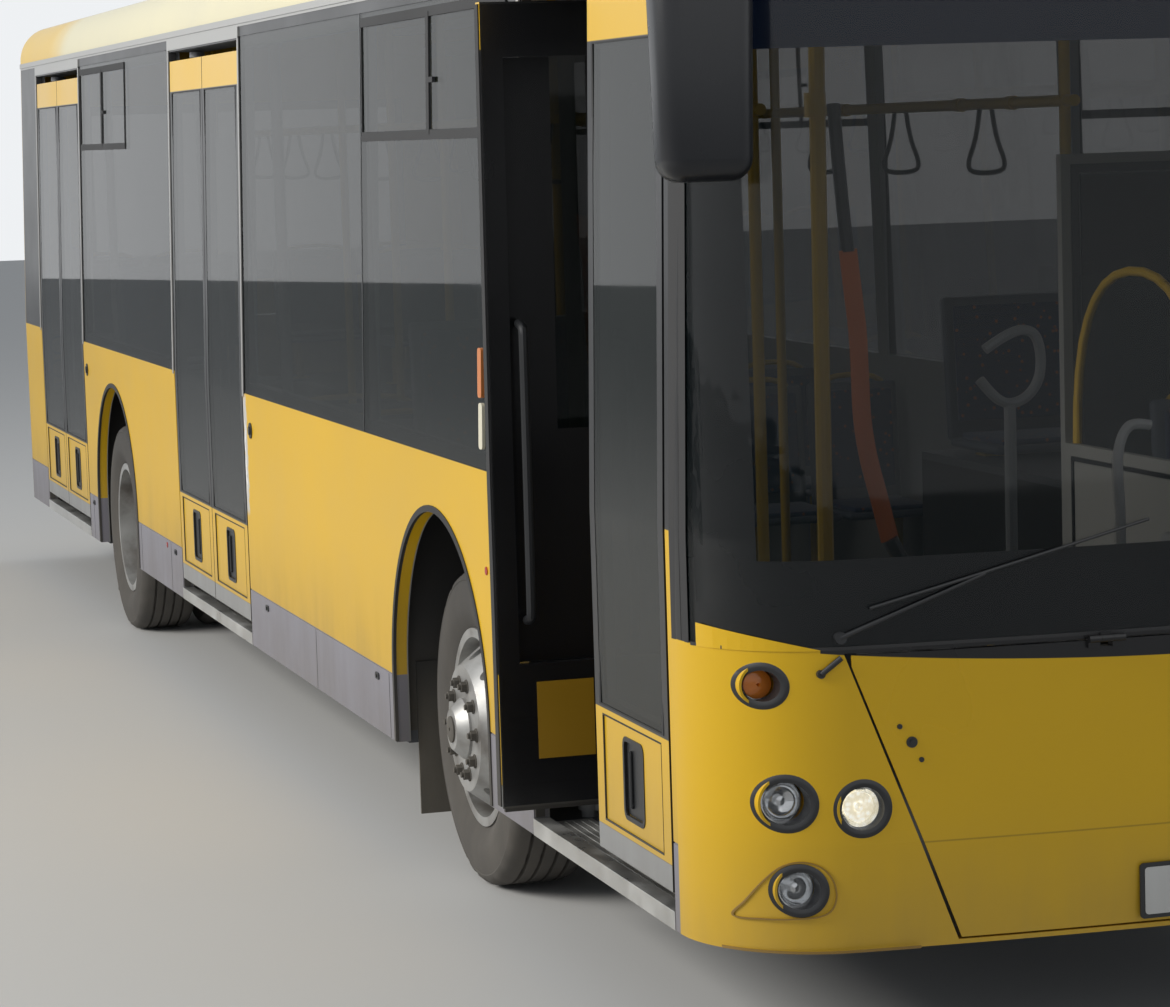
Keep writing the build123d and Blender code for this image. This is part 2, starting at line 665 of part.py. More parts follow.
def turned(points, x, y, mode=Mode.ADD):
    """Ring turned about the wheel's axle from points (along the axle, radius)."""
    with BuildSketch(Plane.YZ.offset(x)) as face:
        with BuildLine():
            Polyline(*[(y + a, tyre_radius + r) for a, r in points], close=True)
        make_face()
    revolve(face.sketch, axis=Axis((x, 0, tyre_radius), (0, 1, 0)), revolution_arc=360, mode=mode)


def rim_ring(x, y, out):
    """One disc wheel, its disc on the side that out points to along Y."""
    lip = rim_half - flange[1]
    half = [(rim_half, barrel[0]), (rim_half, flange[0]), (lip, flange[0]), (lip, barrel[1])]
    turned(half + [(-a, r) for a, r in reversed(half)], x, y)
    d = disc_offset
    t = disc_plate
    disc = [(d - 128, barrel[0] + 2), (d - 112, barrel[0] + 2), (d, 190), (d, 80), (d - t, 80), (d - t, 184)]
    turned([(out * a, r) for a, r in disc], x, y)
    for k in range(hand_holes):
        turn = 2 * pi * (k + 0.5) / hand_holes
        hole = (x + hand_hole_r * cos(turn), y, tyre_radius + hand_hole_r * sin(turn))
        with Locations(Location(hole, (-90, 0, 0))):
            with Locations((0, 0, out * (d - 40))):
                Cylinder(hand_hole, 90, mode=Mode.SUBTRACT)


def tyre_ring(x, y):
    with BuildSketch(Plane.YZ.offset(x)) as face:
        with BuildLine():
            half = tyre_width / 2
            tread = half - tyre_round
            z = tyre_radius
            right = [(y + half - bead[0], z + barrel[1] + seat_gap + bead[1])]
            right += [(y + half - a, z + tyre_radius - b) for a, b in tyre_wall]
            left = [(2 * y - a, b) for a, b in right]
            Line(left[0], right[0])
            ThreePointArc(*right)
            TangentArc((y + tread, z + tyre_radius), right[2], tangent=(1, 0))
            Line((y + tread, z + tyre_radius), (y - tread, z + tyre_radius))
            TangentArc((y - tread, z + tyre_radius), left[2], tangent=(-1, 0))
            ThreePointArc(left[2], left[1], left[0])
        make_face()
    revolve(face.sketch, axis=Axis((x, 0, tyre_radius), (0, 1, 0)), revolution_arc=360)


for hand, name in ((-1, "right"), (1, "left")):
    with BuildPart() as rim:
        y = hand * front_track_y
        rim_ring(front_axle_x, y, hand)
        wide, narrow = hub["front"]
        end = disc_offset + 40
        cap = ((-20, 0), (-20, wide), (end - 32, wide), (end, narrow), (end, 0))
        turned([(hand * a, r) for a, r in cap], front_axle_x, y)
        ends_y = sorted((hand * (front_track_y - 30), hand * (front_track_y + 103)))
        across(front_axle_x, ends_y[0], ends_y[1], tyre_radius, front_spindle + running, Mode.SUBTRACT)
    save(rim.part, "rim_front_" + name)
    with BuildPart() as tyre:
        tyre_ring(front_axle_x, y)
    save(tyre.part, "tyre_front_" + name)
    with BuildPart() as twin_rim:
        y = hand * twin_outer_y
        rim_ring(rear_axle_x, y, -hand)
        rim_ring(rear_axle_x, hand * (twin_outer_y - twin_pitch), hand)
        wide, narrow = hub["rear"]
        cap = ((-disc_offset - 60, 0), (-disc_offset - 60, wide), (40, wide), (60, narrow), (60, 0))
        turned([(hand * a, r) for a, r in cap], rear_axle_x, y)
        ends_y = sorted((hand * (twin_outer_y - disc_offset - 70), hand * (twin_outer_y + 23)))
        across(rear_axle_x, ends_y[0], ends_y[1], tyre_radius, rear_spindle + running, Mode.SUBTRACT)
    save(twin_rim.part, "rim_rear_" + name)
    with BuildPart() as twin_tyres:
        tyre_ring(rear_axle_x, y)
        tyre_ring(rear_axle_x, hand * (twin_outer_y - twin_pitch))
    save(twin_tyres.part, "tyres_rear_" + name)

# Mud flaps behind the wheels
flap_y = (half_width - 475.0, half_width - 75.0)
flap_z = (110.0, 600.0)
flap = 8.0
with BuildPart() as mud_flaps:
    for x, half, inner in wheel_boxes:
        for hand in (-1, 1):
            y0, y1 = sorted((hand * flap_y[0], hand * flap_y[1]))
            block(x - half, x - half + flap, y0, y1, *flap_z)
save(mud_flaps.part, "mud_flaps")

# Doors: each leaf turns on a pivot that its column's arms carry
arm_z = ((400.0, 424.0), (door_head_z - 30, door_head_z - 8))
bracket_z = ((446.0, 468.0), (leaf_top_z - 36, leaf_top_z - 14))
pin_radius = 9.0
boss = 20.0
pane_z = (815.0, leaf_top_z - 130)
pane_side = 42.0
pane_lap = 14.0
kick_z = (520.0, 790.0)  # pressed panel under the pane
kick_side = 60.0
kick_depth = 4.0
cup = (150.0, 190.0, 12.0)  # handle cup: length, height, depth


def linkage(width, reach):
    """Leaf length, closed pivot, open pivot and column, seen from the post's edge."""
    length = (width - middle_gap) / 2 - post_gap
    closed = (post_gap + reach, -(half_width - leaf_thick / 2) + pivot_in)
    opened = (open_mid + pivot_in, length - reach - open_reach)
    u = -column_back
    fall = (u - opened[0]) ** 2 - (u - closed[0]) ** 2 + opened[1] ** 2 - closed[1] ** 2
    return length, closed, opened, (u, fall / (2 * (opened[1] - closed[1])))


# Leaves: doorway, which post, hand along X, open at rest
leaves = (
    ("front", "rear", 1, True),
    ("front", "front", -1, False),
    ("middle", "rear", 1, False),
    ("middle", "front", -1, False),
    ("rear", "rear", 1, False),
    ("rear", "front", -1, False),
)
for doorway, end, hand, opened_now in leaves:
    start, width, reach = doorways[doorway]
    post = start if hand > 0 else start + width
    length, closed, opened, column = linkage(width, reach)
    x0, x1 = sorted((post + hand * post_gap, post + hand * (post_gap + length)))
    pivot_x = post + hand * closed[0]
    p0, p1 = x0 + pane_side, x1 - pane_side
    with BuildPart() as leaf:
        section = strip_face(x0, side_strip(-1, 0, leaf_thick, leaf_z, leaf_top_z))
        extrude(section, amount=x1 - x0, dir=(1, 0, 0))
        step = strip_face(p0 - 1, side_strip(-1, -5, rebate, pane_z[0] - 1, pane_z[1] + 1))
        extrude(step, amount=p1 - p0 + 2, dir=(1, 0, 0), mode=Mode.SUBTRACT)
        block(p0 + pane_lap, p1 - pane_lap, -half_width - 20, -half_width + 120, pane_z[0] + pane_lap,
              pane_z[1] - pane_lap, Mode.SUBTRACT)
        kick_y = (-half_width - 20, -half_width + kick_depth)
        block(x0 + kick_side, x1 - kick_side, *kick_y, *kick_z, Mode.SUBTRACT)
        with Locations(((x0 + x1) / 2, -half_width + cup[2] / 2, sum(kick_z) / 2)):
            Box(cup[0], cup[2], cup[1], mode=Mode.SUBTRACT)
        for z0, z1 in bracket_z:
            inner = side_y(z0) - leaf_thick
            block(pivot_x - boss, pivot_x + boss, -inner - 10, closed[1], z0, z1)
            with Locations((pivot_x, closed[1], (z0 + z1) / 2)):
                Cylinder(boss, z1 - z0)
                Cylinder(pin_radius + running, 100, mode=Mode.SUBTRACT)
    with BuildPart() as pane:
        pane_face = strip_face(p0, side_strip(-1, rebate - glass, rebate, *pane_z))
        extrude(pane_face, amount=p1 - p0, dir=(1, 0, 0))
    arm_length = hypot(closed[0] - column[0], closed[1] - column[1])
    with BuildPart() as arm:
        for (z0, z1), (b0, b1) in zip(arm_z, bracket_z):
            block(0, arm_length, -15, 15, z0, z1)
            with Locations((0, 0, (z0 + z1) / 2), (arm_length, 0, (z0 + z1) / 2)):
                Cylinder(column_radius + 8, z1 - z0)
            with Locations((arm_length, 0, (min(z0, b0) + max(z1, b1)) / 2)):
                Cylinder(pin_radius, max(z1, b1) - min(z0, b0))
        with Locations((0, 0, floor_z + seat_gap)):
            height = door_head_z - floor_z - 2 * seat_gap
            Cylinder(column_radius, height, align=(Align.CENTER, Align.CENTER, Align.MIN))
    now = opened if opened_now else closed
    turn = -90 * hand if opened_now else 0
    swing = Location((post + hand * now[0], now[1], 0)) * Location((0, 0, 0), (0, 0, turn))
    swing = swing * Location((-pivot_x, -closed[1], 0))
    aim = atan2(now[1] - column[1], hand * (now[0] - column[0]))
    save(leaf.part.moved(swing), "door_%s_leaf_%s" % (doorway, end))
    save(pane.part.moved(swing), "door_%s_glass_%s" % (doorway, end))
    stand = Location((post + hand * column[0], column[1], 0), (0, 0, degrees(aim)))
    save(arm.part.moved(stand), "door_%s_arm_%s" % (doorway, end))

# Inside: seats, rails, dashboard and the driver's cab
# Seats: x, y, width, base z, height of the pan over the base
seat_y = half_width - 375.0
pair_y = half_width - 455.0
seat_rise = 60.0
floor_rise = 440.0
bench_rise = 250.0
pair_pitch = 900.0
seats_table = [
    (front_axle_x - 575, -seat_y, 600.0, box_top_z, seat_rise),
    (front_axle_x - 575, seat_y, 600.0, box_top_z, seat_rise),
    (rear_axle_x - 575, -seat_y, 520.0, box_top_z, seat_rise),
    (rear_axle_x - 575, seat_y, 520.0, box_top_z, seat_rise),
    (middle_end + 210, -seat_y, 600.0, floor_z, floor_rise),
    (middle_end + 1050, -seat_y, 600.0, floor_z, floor_rise),
    (rear_end_x + 860, pair_y - 20, 700.0, bay_top_z, bench_rise),
    (rear_end_x + 20, -600.0, 1000.0, bay_top_z, bench_rise),
    (rear_end_x + 20, 600.0, 1000.0, bay_top_z, bench_rise),
    (front_end_x - 1017, 700.0, 500.0, floor_z, 640.0),
]
for row in range(4):
    seats_table.append((rear_axle_x + 965 + row * pair_pitch, pair_y, 780.0, floor_z, floor_rise))
pan = (360.0, 40.0)    # seat pan: depth, thickness
back_height = 460.0
leg = (160.0, 250.0)   # leg's faces ahead of the seat's place
with BuildPart() as seats:
    for x, y, width, base, rise in seats_table:
        z = base + rise
        front = x + 70 + pan[0]
        under = z - pan[1]
        side = [(x + leg[0], base), (x + leg[1], base), (x + leg[1], under), (front, under), (front, z), (x + 70, z),
                (x + 30, z + back_height), (x - 10, z + back_height), (x + 20, under), (x + leg[0], under)]
        with BuildSketch(Plane.XZ.offset(-y - width / 2)) as seat_side:
            with BuildLine():
                Polyline(*side, close=True)
            make_face()
        extrude(seat_side.sketch, amount=width, dir=(0, -1, 0))
save(seats.part, "seats")

pole = 17.0
rail_side_y = 480.0
rail_height = gutter_z - 415.0


def ceiling_z(y):
    drop = roof_z - crown_z
    reach = crown_y - roof_wall
    radius = (reach ** 2 + drop ** 2) / (2 * drop)
    return roof_z - roof_wall - radius + sqrt(radius ** 2 - y ** 2)


cab_pole = front_axle_x + 705.0
door_poles = (middle_end + 100, middle_end - 750, middle_end - 1650)
poles = {
    -1: (cab_pole, front_axle_x - 1295, *door_poles, rear_door_end + 140),
    1: (cab_pole, front_axle_x - 1775, rear_axle_x + 2665, rear_axle_x + 815),
}
rail_x = (rear_axle_x - 835.0, cab_pole + 70)
with BuildPart() as handrails:
    for hand in (-1, 1):
        y = hand * rail_side_y
        along(rail_x[0], y, rail_height, rail_x[1] - rail_x[0], pole)
        for x in poles[hand]:
            with Locations((x, y, floor_z)):
                Cylinder(pole, ceiling_z(y) - 0.5 - floor_z, align=(Align.CENTER, Align.CENTER, Align.MIN))
save(handrails.part, "handrails")

# Dashboard: section along the bus, then the steering column with its wheel
dash_foot = (front_end_x + 43, front_end_x + 273)
dash_near = front_end_x - 247
dash_z = (700.0, 770.0, 960.0, 1030.0)
dash_y = (-350.0, 900.0)
steer_foot = (front_end_x - 177, 680.0, 940.0)
steer_tilt = -35.0
steer_length = 330.0
hand_wheel = (220.0, 16.0)
with BuildPart() as dashboard:
    foot, toe = dash_foot
    side = [(foot, floor_z), (toe, floor_z), (toe, dash_z[3]), (dash_near + 110, dash_z[3]),
            (dash_near, dash_z[2]), (dash_near, dash_z[1]), (foot, dash_z[0])]
    with BuildSketch(Plane.XZ.offset(-dash_y[0])) as dash_side:
        with BuildLine():
            Polyline(*side, close=True)
        make_face()
    extrude(dash_side.sketch, amount=dash_y[1] - dash_y[0], dir=(0, 1, 0))
    with Locations(Location(steer_foot, (0, steer_tilt, 0))):
        Cylinder(35, steer_length, align=(Align.CENTER, Align.CENTER, Align.MIN))
        with Locations((0, 0, steer_length)):
            Torus(*hand_wheel)
            Box(2 * hand_wheel[0] - 10, 30, hand_wheel[1])
            Cylinder(60, 24)
save(dashboard.part, "dashboard")

cab_x = (front_end_x - 1177, front_end_x - 327)
cab_y = 260.0
cab_wall = (30.0, 25.0)
cab_z = (2150.0, 1350.0)
with BuildPart() as cab_partition:
    block(cab_x[0], cab_x[0] + cab_wall[0], cab_y, floor_y - 40, floor_z, cab_z[0])
    block(cab_x[0] + cab_wall[0], cab_x[1], cab_y, cab_y + cab_wall[1], floor_z, cab_z[1])
save(cab_partition.part, "cab_partition")

# Mirrors hang from the roof's front corners, ahead of the pillars
mirror = (140.0, 235.0, 480.0)
mirror_y = half_width + 7.5
mirror_top = gutter_z - 95.0
mirror_x = nose_x + 15 - mirror[0] / 2
mirror_arm = 17.0
with BuildPart() as mirrors:
    for hand in (-1, 1):
        with Locations((mirror_x, hand * mirror_y, mirror_top - mirror[2] / 2)):
            housing = Box(*mirror)
        fillet(housing.edges().filter_by(Axis.X), 50)
        foot = Vector(mirror_x, hand * (mirror_y - 20), mirror_top - 30)
        reach = Vector(front_end_x - 17, hand * (half_width - 215), roof_z - 100) - foot
        with Locations(Plane(origin=foot, z_dir=reach).location):
            Cylinder(mirror_arm, reach.length, align=(Align.CENTER, Align.CENTER, Align.MIN))
    add(roof_outer.part, mode=Mode.SUBTRACT)
    add(end_volume("front", 0, shell_heights), mode=Mode.SUBTRACT)
save(mirrors.part, "mirrors")

# Wiper blades: range across the windscreen and height, both as bands cut from a skin over the glass
blade_y = (80.0, 960.0)
blade_z = (1128.0, 1152.0)
spindle = (520.0, 12.0)
with BuildPart() as blades:
    for hand in (-1, 1):
        block(front_end_x + 223, nose_x + 115, hand * blade_y[0], hand * blade_y[1], *blade_z)
with BuildPart() as wipers:
    add(end_volume("front", -14, shell_heights))
    add(end_volume("front", -5, shell_heights), mode=Mode.SUBTRACT)
    add(blades.part, mode=Mode.INTERSECT)
    for hand in (-1, 1):
        along(nose_x - 60, hand * spindle[0], sum(blade_z) / 2, 60, spindle[1])
    add(end_volume("front", rebate - glass - seat_gap, shell_heights), mode=Mode.SUBTRACT)
save(wipers.part, "wipers")
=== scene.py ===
import json
from math import atan2, cos, pi, radians, sin, sqrt

import bmesh
import bpy
from mathutils import Matrix, Vector

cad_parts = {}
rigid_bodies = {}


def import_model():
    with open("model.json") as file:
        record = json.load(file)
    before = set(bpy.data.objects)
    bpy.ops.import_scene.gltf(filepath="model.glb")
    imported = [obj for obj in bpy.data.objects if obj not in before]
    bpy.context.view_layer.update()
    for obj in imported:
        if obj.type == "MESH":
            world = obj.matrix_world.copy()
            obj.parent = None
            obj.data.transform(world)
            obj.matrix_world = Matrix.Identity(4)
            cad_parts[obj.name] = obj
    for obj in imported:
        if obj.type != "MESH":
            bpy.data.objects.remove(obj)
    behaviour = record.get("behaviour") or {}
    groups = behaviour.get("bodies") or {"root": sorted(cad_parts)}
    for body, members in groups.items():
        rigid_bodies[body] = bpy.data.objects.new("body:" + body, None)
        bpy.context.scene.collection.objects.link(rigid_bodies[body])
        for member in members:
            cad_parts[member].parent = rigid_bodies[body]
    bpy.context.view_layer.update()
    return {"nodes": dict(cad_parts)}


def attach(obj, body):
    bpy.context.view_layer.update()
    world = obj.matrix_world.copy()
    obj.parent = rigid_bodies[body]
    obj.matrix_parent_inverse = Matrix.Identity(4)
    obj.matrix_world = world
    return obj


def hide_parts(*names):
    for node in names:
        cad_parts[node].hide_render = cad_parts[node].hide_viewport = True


# City bus in its looks: +X forward, +Y left, +Z up, metres; the kerb side with the doors is at -Y
for leftover in list(bpy.data.objects):
    bpy.data.objects.remove(leftover)
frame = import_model()
nodes = frame["nodes"]
print("frame loaded,", len(nodes), "nodes")

# Body sizes that the pieces below share, the same as the frame's
body = {
    "halfWidth": 1.275,
    "lean": 0.038,          # how far the sides lean in between belt and gutter
    "seam": 0.565,          # top of the grey skirt
    "belt": 1.310,
    "gutter": 2.715,
    "roofTop": 2.950,
    "crownHalf": 1.040,     # half the width and the height of the roof's crown
    "crownRise": 0.028,
    "screen": 1.062,        # windscreen's lower edge
}
noseShape = {"tip": 5.985, "radius": 8.0, "back": 0.070, "corner": 5.577, "sign": 1}
tailShape = {"tip": 5.988, "radius": 40.0, "back": 0.025, "corner": 5.860, "sign": -1}


def sideY(z):
    # Distance of the side skin from the middle at height z
    return body["halfWidth"] - body["lean"] * max(0.0, z - body["belt"]) / (body["gutter"] - body["belt"])


def endX(shape, y, z, inset=0.0):
    # x of the front or rear skin: a nose arc in the middle and an arc round each corner
    rise = max(0.0, z - body["screen"]) / (body["gutter"] - body["screen"])
    tip = shape["tip"] - shape["back"] * rise - inset
    side = sideY(z) - inset
    centre = tip - shape["radius"]
    reach = shape["corner"] - centre
    arc = (shape["radius"] ** 2 - reach ** 2 - side ** 2) / (2 * (shape["radius"] - side))
    arcY = side - arc
    turn = atan2(arcY, reach)
    y = abs(y)
    if y < shape["radius"] * sin(turn):
        return shape["sign"] * (centre + sqrt(shape["radius"] ** 2 - y * y))
    return shape["sign"] * (shape["corner"] + sqrt(max(0.0, arc ** 2 - (y - arcY) ** 2)))


# Camera: the photograph's view, as an orbit of plain numbers
camera = {"place": (13.269, -3.747, 2.244), "yaw": 163.57, "pitch": -6.07, "roll": -1.80, "lens": 106.57}


def addCamera():
    yaw, pitch, roll = (radians(camera[key]) for key in ("yaw", "pitch", "roll"))
    ahead = Vector((cos(yaw) * cos(pitch), sin(yaw) * cos(pitch), sin(pitch)))
    right = ahead.cross(Vector((0, 0, 1))).normalized()
    up = right.cross(ahead)
    acrossX = right * cos(roll) + up * sin(roll)
    acrossY = up * cos(roll) - right * sin(roll)
    data = bpy.data.cameras.new("photoView")
    data.lens = camera["lens"]
    data.sensor_width = 36.0
    data.clip_end = 300.0
    eye = bpy.data.objects.new("photoView", data)
    turn = Matrix((acrossX, acrossY, -ahead)).transposed().to_4x4()
    eye.matrix_world = Matrix.Translation(camera["place"]) @ turn
    bpy.context.scene.collection.objects.link(eye)
    bpy.context.scene.camera = eye


addCamera()
bpy.context.scene.view_settings.view_transform = "Standard"

# Shader helpers
def addNode(tree, kind, values=None, **settings):
    node = tree.nodes.new(kind)
    for key, value in settings.items():
        setattr(node, key, value)
    for key, value in (values or {}).items():
        node.inputs[key].default_value = value
    return node


def newGroup(name, inputs, outputs):
    # inputs: name -> (socket kind, default); outputs: name -> socket kind
    tree = bpy.data.node_groups.new(name, "ShaderNodeTree")
    for label, (kind, value) in inputs.items():
        socket = tree.interface.new_socket(name=label, in_out="INPUT", socket_type="NodeSocket" + kind)
        socket.default_value = value
    for label, kind in outputs.items():
        tree.interface.new_socket(name=label, in_out="OUTPUT", socket_type="NodeSocket" + kind)
    return tree, tree.nodes.new("NodeGroupInput"), tree.nodes.new("NodeGroupOutput")


def noiseAt(tree, vector, scale, detail=4.0, stretch=None, roughness=0.55):
    if stretch:
        mapping = addNode(tree, "ShaderNodeMapping", {"Scale": stretch})
        tree.links.new(vector, mapping.inputs["Vector"])
        vector = mapping.outputs["Vector"]
    noise = addNode(tree, "ShaderNodeTexNoise", {"Scale": scale, "Detail": detail, "Roughness": roughness})
    tree.links.new(vector, noise.inputs["Vector"])
    return noise.outputs["Fac"]


def calc(tree, operation, a, b=0.0, clamp=False):
    node = tree.nodes.new("ShaderNodeMath")
    node.operation = operation
    node.use_clamp = clamp
    for slot, value in enumerate((a, b)):
        if isinstance(value, (int, float)):
            node.inputs[slot].default_value = value
        else:
            tree.links.new(value, node.inputs[slot])
    return node.outputs[0]


def ramp(tree, value, low, high, toLow=0.0, toHigh=1.0):
    node = addNode(tree, "ShaderNodeMapRange", interpolation_type="SMOOTHSTEP")
    for key, amount in (("From Min", low), ("From Max", high), ("To Min", toLow), ("To Max", toHigh)):
        if isinstance(amount, (int, float)):
            node.inputs[key].default_value = amount
        else:
            tree.links.new(amount, node.inputs[key])
    tree.links.new(value, node.inputs["Value"])
    return node.outputs["Result"]


def mixColour(tree, factor, a, b, blend="MIX"):
    node = addNode(tree, "ShaderNodeMix", data_type="RGBA", blend_type=blend)
    for socket, value in ((node.inputs[0], factor), (node.inputs[6], a), (node.inputs[7], b)):
        if isinstance(value, (int, float)):
            socket.default_value = value
        elif isinstance(value, tuple):
            socket.default_value = (*value, 1.0) if len(value) == 3 else value
        else:
            tree.links.new(value, socket)
    return node.outputs[2]


def objectPlace(tree):
    return tree.nodes.new("ShaderNodeTexCoord").outputs["Object"]


def objectPoint(tree):
    place = objectPlace(tree)
    split = tree.nodes.new("ShaderNodeSeparateXYZ")
    tree.links.new(place, split.inputs[0])
    return place, split.outputs[0], split.outputs[1], split.outputs[2]


def makeDustGroup():
    # Road film that thins out upwards, with streaks below edges
    tree, taken, given = newGroup(
        "roadFilm",
        {"Colour": ("Color", (0.5, 0.5, 0.5, 1)), "Dust": ("Color", (0.16, 0.145, 0.12, 1)),
         "Top": ("Float", 0.9), "Amount": ("Float", 0.5), "Roughness": ("Float", 0.35)},
        {"Colour": "Color", "Roughness": "Float"})
    place, _, _, z = objectPoint(tree)
    cloud = noiseAt(tree, place, 3.5, 6.0)
    streak = noiseAt(tree, place, 9.0, 4.0, stretch=(1.0, 1.0, 0.12))
    height = ramp(tree, z, 0.25, taken.outputs["Top"], 1.0, 0.0)
    blot = calc(tree, "MULTIPLY", calc(tree, "ADD", cloud, streak), 0.9)
    mask = calc(tree, "MULTIPLY", calc(tree, "MULTIPLY", height, blot), taken.outputs["Amount"], clamp=True)
    tree.links.new(mixColour(tree, mask, taken.outputs["Colour"], taken.outputs["Dust"]), given.inputs["Colour"])
    rough = calc(tree, "ADD", taken.outputs["Roughness"], calc(tree, "MULTIPLY", mask, 0.5), clamp=True)
    tree.links.new(rough, given.inputs["Roughness"])
    return tree


def makeGrainGroup():
    # Fine surface grain: a height for Bump, a small change of tone and of gloss
    tree, taken, given = newGroup(
        "surfaceGrain",
        {"Colour": ("Color", (0.5, 0.5, 0.5, 1)), "Scale": ("Float", 300.0), "Tone": ("Float", 0.08),
         "Cloud": ("Float", 2.0), "Roughness": ("Float", 0.4), "Gloss": ("Float", 0.1)},
        {"Colour": "Color", "Roughness": "Float", "Height": "Float"})
    place = objectPlace(tree)
    fine = addNode(tree, "ShaderNodeTexNoise", {"Detail": 3.0})
    tree.links.new(place, fine.inputs["Vector"])
    tree.links.new(taken.outputs["Scale"], fine.inputs["Scale"])
    broad = addNode(tree, "ShaderNodeTexNoise", {"Detail": 5.0})
    tree.links.new(place, broad.inputs["Vector"])
    tree.links.new(taken.outputs["Cloud"], broad.inputs["Scale"])
    shift = calc(tree, "MULTIPLY", calc(tree, "SUBTRACT", broad.outputs["Fac"], 0.5), taken.outputs["Tone"])
    lift = addNode(tree, "ShaderNodeHueSaturation", {"Saturation": 1.0})
    tree.links.new(calc(tree, "ADD", calc(tree, "MULTIPLY", shift, 2.0), 1.0), lift.inputs["Value"])
    tree.links.new(taken.outputs["Colour"], lift.inputs["Color"])
    tree.links.new(lift.outputs["Color"], given.inputs["Colour"])
    gloss = calc(tree, "MULTIPLY", calc(tree, "SUBTRACT", broad.outputs["Fac"], 0.5), taken.outputs["Gloss"])
    rough = calc(tree, "ADD", taken.outputs["Roughness"], calc(tree, "MULTIPLY", gloss, 2.0), clamp=True)
    tree.links.new(rough, given.inputs["Roughness"])
    tree.links.new(fine.outputs["Fac"], given.inputs["Height"])
    return tree


def makeScuffGroup():
    # Thin scratches and rubbed spots as one mask
    tree, taken, given = newGroup(
        "scuffs", {"Scale": ("Float", 6.0), "Amount": ("Float", 0.5)}, {"Mask": "Float"})
    place = objectPlace(tree)
    warp = addNode(tree, "ShaderNodeTexNoise", {"Detail": 8.0, "Roughness": 0.75, "Distortion": 1.2})
    tree.links.new(place, warp.inputs["Vector"])
    tree.links.new(taken.outputs["Scale"], warp.inputs["Scale"])
    spots = ramp(tree, warp.outputs["Fac"], 0.66, 0.74)
    tree.links.new(calc(tree, "MULTIPLY", spots, taken.outputs["Amount"]), given.inputs["Mask"])
    return tree


dustGroup = makeDustGroup()
grainGroup = makeGrainGroup()
scuffGroup = makeScuffGroup()


def startMaterial(name, finish):
    material = bpy.data.materials.new(name)
    material.use_nodes = True
    tree = material.node_tree
    shader = tree.nodes["Principled BSDF"]
    for key, value in finish.items():
        shader.inputs[key].default_value = value
    return material, tree, shader


def placeGroup(tree, group, values=None, links=None):
    node = tree.nodes.new("ShaderNodeGroup")
    node.node_tree = group
    for key, value in (values or {}).items():
        node.inputs[key].default_value = (*value, 1.0) if isinstance(value, tuple) else value
    for key, socket in (links or {}).items():
        tree.links.new(socket, node.inputs[key])
    return node


def bumpFrom(tree, shader, height, strength, distance):
    bump = addNode(tree, "ShaderNodeBump", {"Strength": strength, "Distance": distance})
    tree.links.new(height, bump.inputs["Height"])
    tree.links.new(bump.outputs["Normal"], shader.inputs["Normal"])


def finishSurface(name, colour, rough=0.4, metal=0.0, grain=300.0, tone=0.08, cloud=2.0, gloss=0.1, bump=0.1,
                  depth=0.001, dust=0.0, dustTop=0.9, dustTone=(0.16, 0.145, 0.12), paint=None, **extra):
    # One finish: base colour, or what paint(tree) returns, then grain, then road film
    material, tree, shader = startMaterial(name, {"Metallic": metal, **extra})
    links = {}
    if paint:
        links["Colour"] = paint(tree)
    values = {"Scale": grain, "Tone": tone, "Cloud": cloud, "Roughness": rough, "Gloss": gloss}
    if not paint:
        values["Colour"] = colour
    grains = placeGroup(tree, grainGroup, values, links)
    out = grains
    if dust:
        out = placeGroup(tree, dustGroup, {"Dust": dustTone, "Top": dustTop, "Amount": dust},
                         {"Colour": grains.outputs["Colour"], "Roughness": grains.outputs["Roughness"]})
    tree.links.new(out.outputs["Colour"], shader.inputs["Base Color"])
    tree.links.new(out.outputs["Roughness"], shader.inputs["Roughness"])
    if bump:
        bumpFrom(tree, shader, grains.outputs["Height"], bump, depth)
    return material


tone = {
    "yellow": (0.78, 0.47, 0.007),
    "lilac": (0.27, 0.265, 0.32),
    "cream": (0.78, 0.72, 0.47),
    "black": (0.012, 0.012, 0.013),
    "inner": (0.30, 0.31, 0.31),
    "primer": (0.62, 0.60, 0.56),
    "navy": (0.006, 0.010, 0.030),
    "grey": (0.33, 0.34, 0.35),
    "bare": (0.93, 0.93, 0.92),
    "cove": (0.80, 0.52, 0.05),     # the cove's yellow at the rear
    "roofGrey": (0.62, 0.61, 0.56),
    # darker yellow, painted as the shade in the front's folds
    "fold": (0.25, 0.14, 0.004),
}


def between(tree, value, low, high, soft=0.002):
    rise = ramp(tree, value, low - soft, low + soft)
    fall = ramp(tree, value, high - soft, high + soft, 1.0, 0.0)
    return calc(tree, "MULTIPLY", rise, fall)


# Where a patch of old primer shows behind the middle doorway, and the bare strip within it
oldPaint = {"x": (0.345, 0.402), "z": (0.86, 1.305), "bareX": (0.358, 0.372), "bareZ": (0.93, 1.20), "ragged": 0.09}
liningY = 1.234  # what lies inwards of this is the cabin's own lining


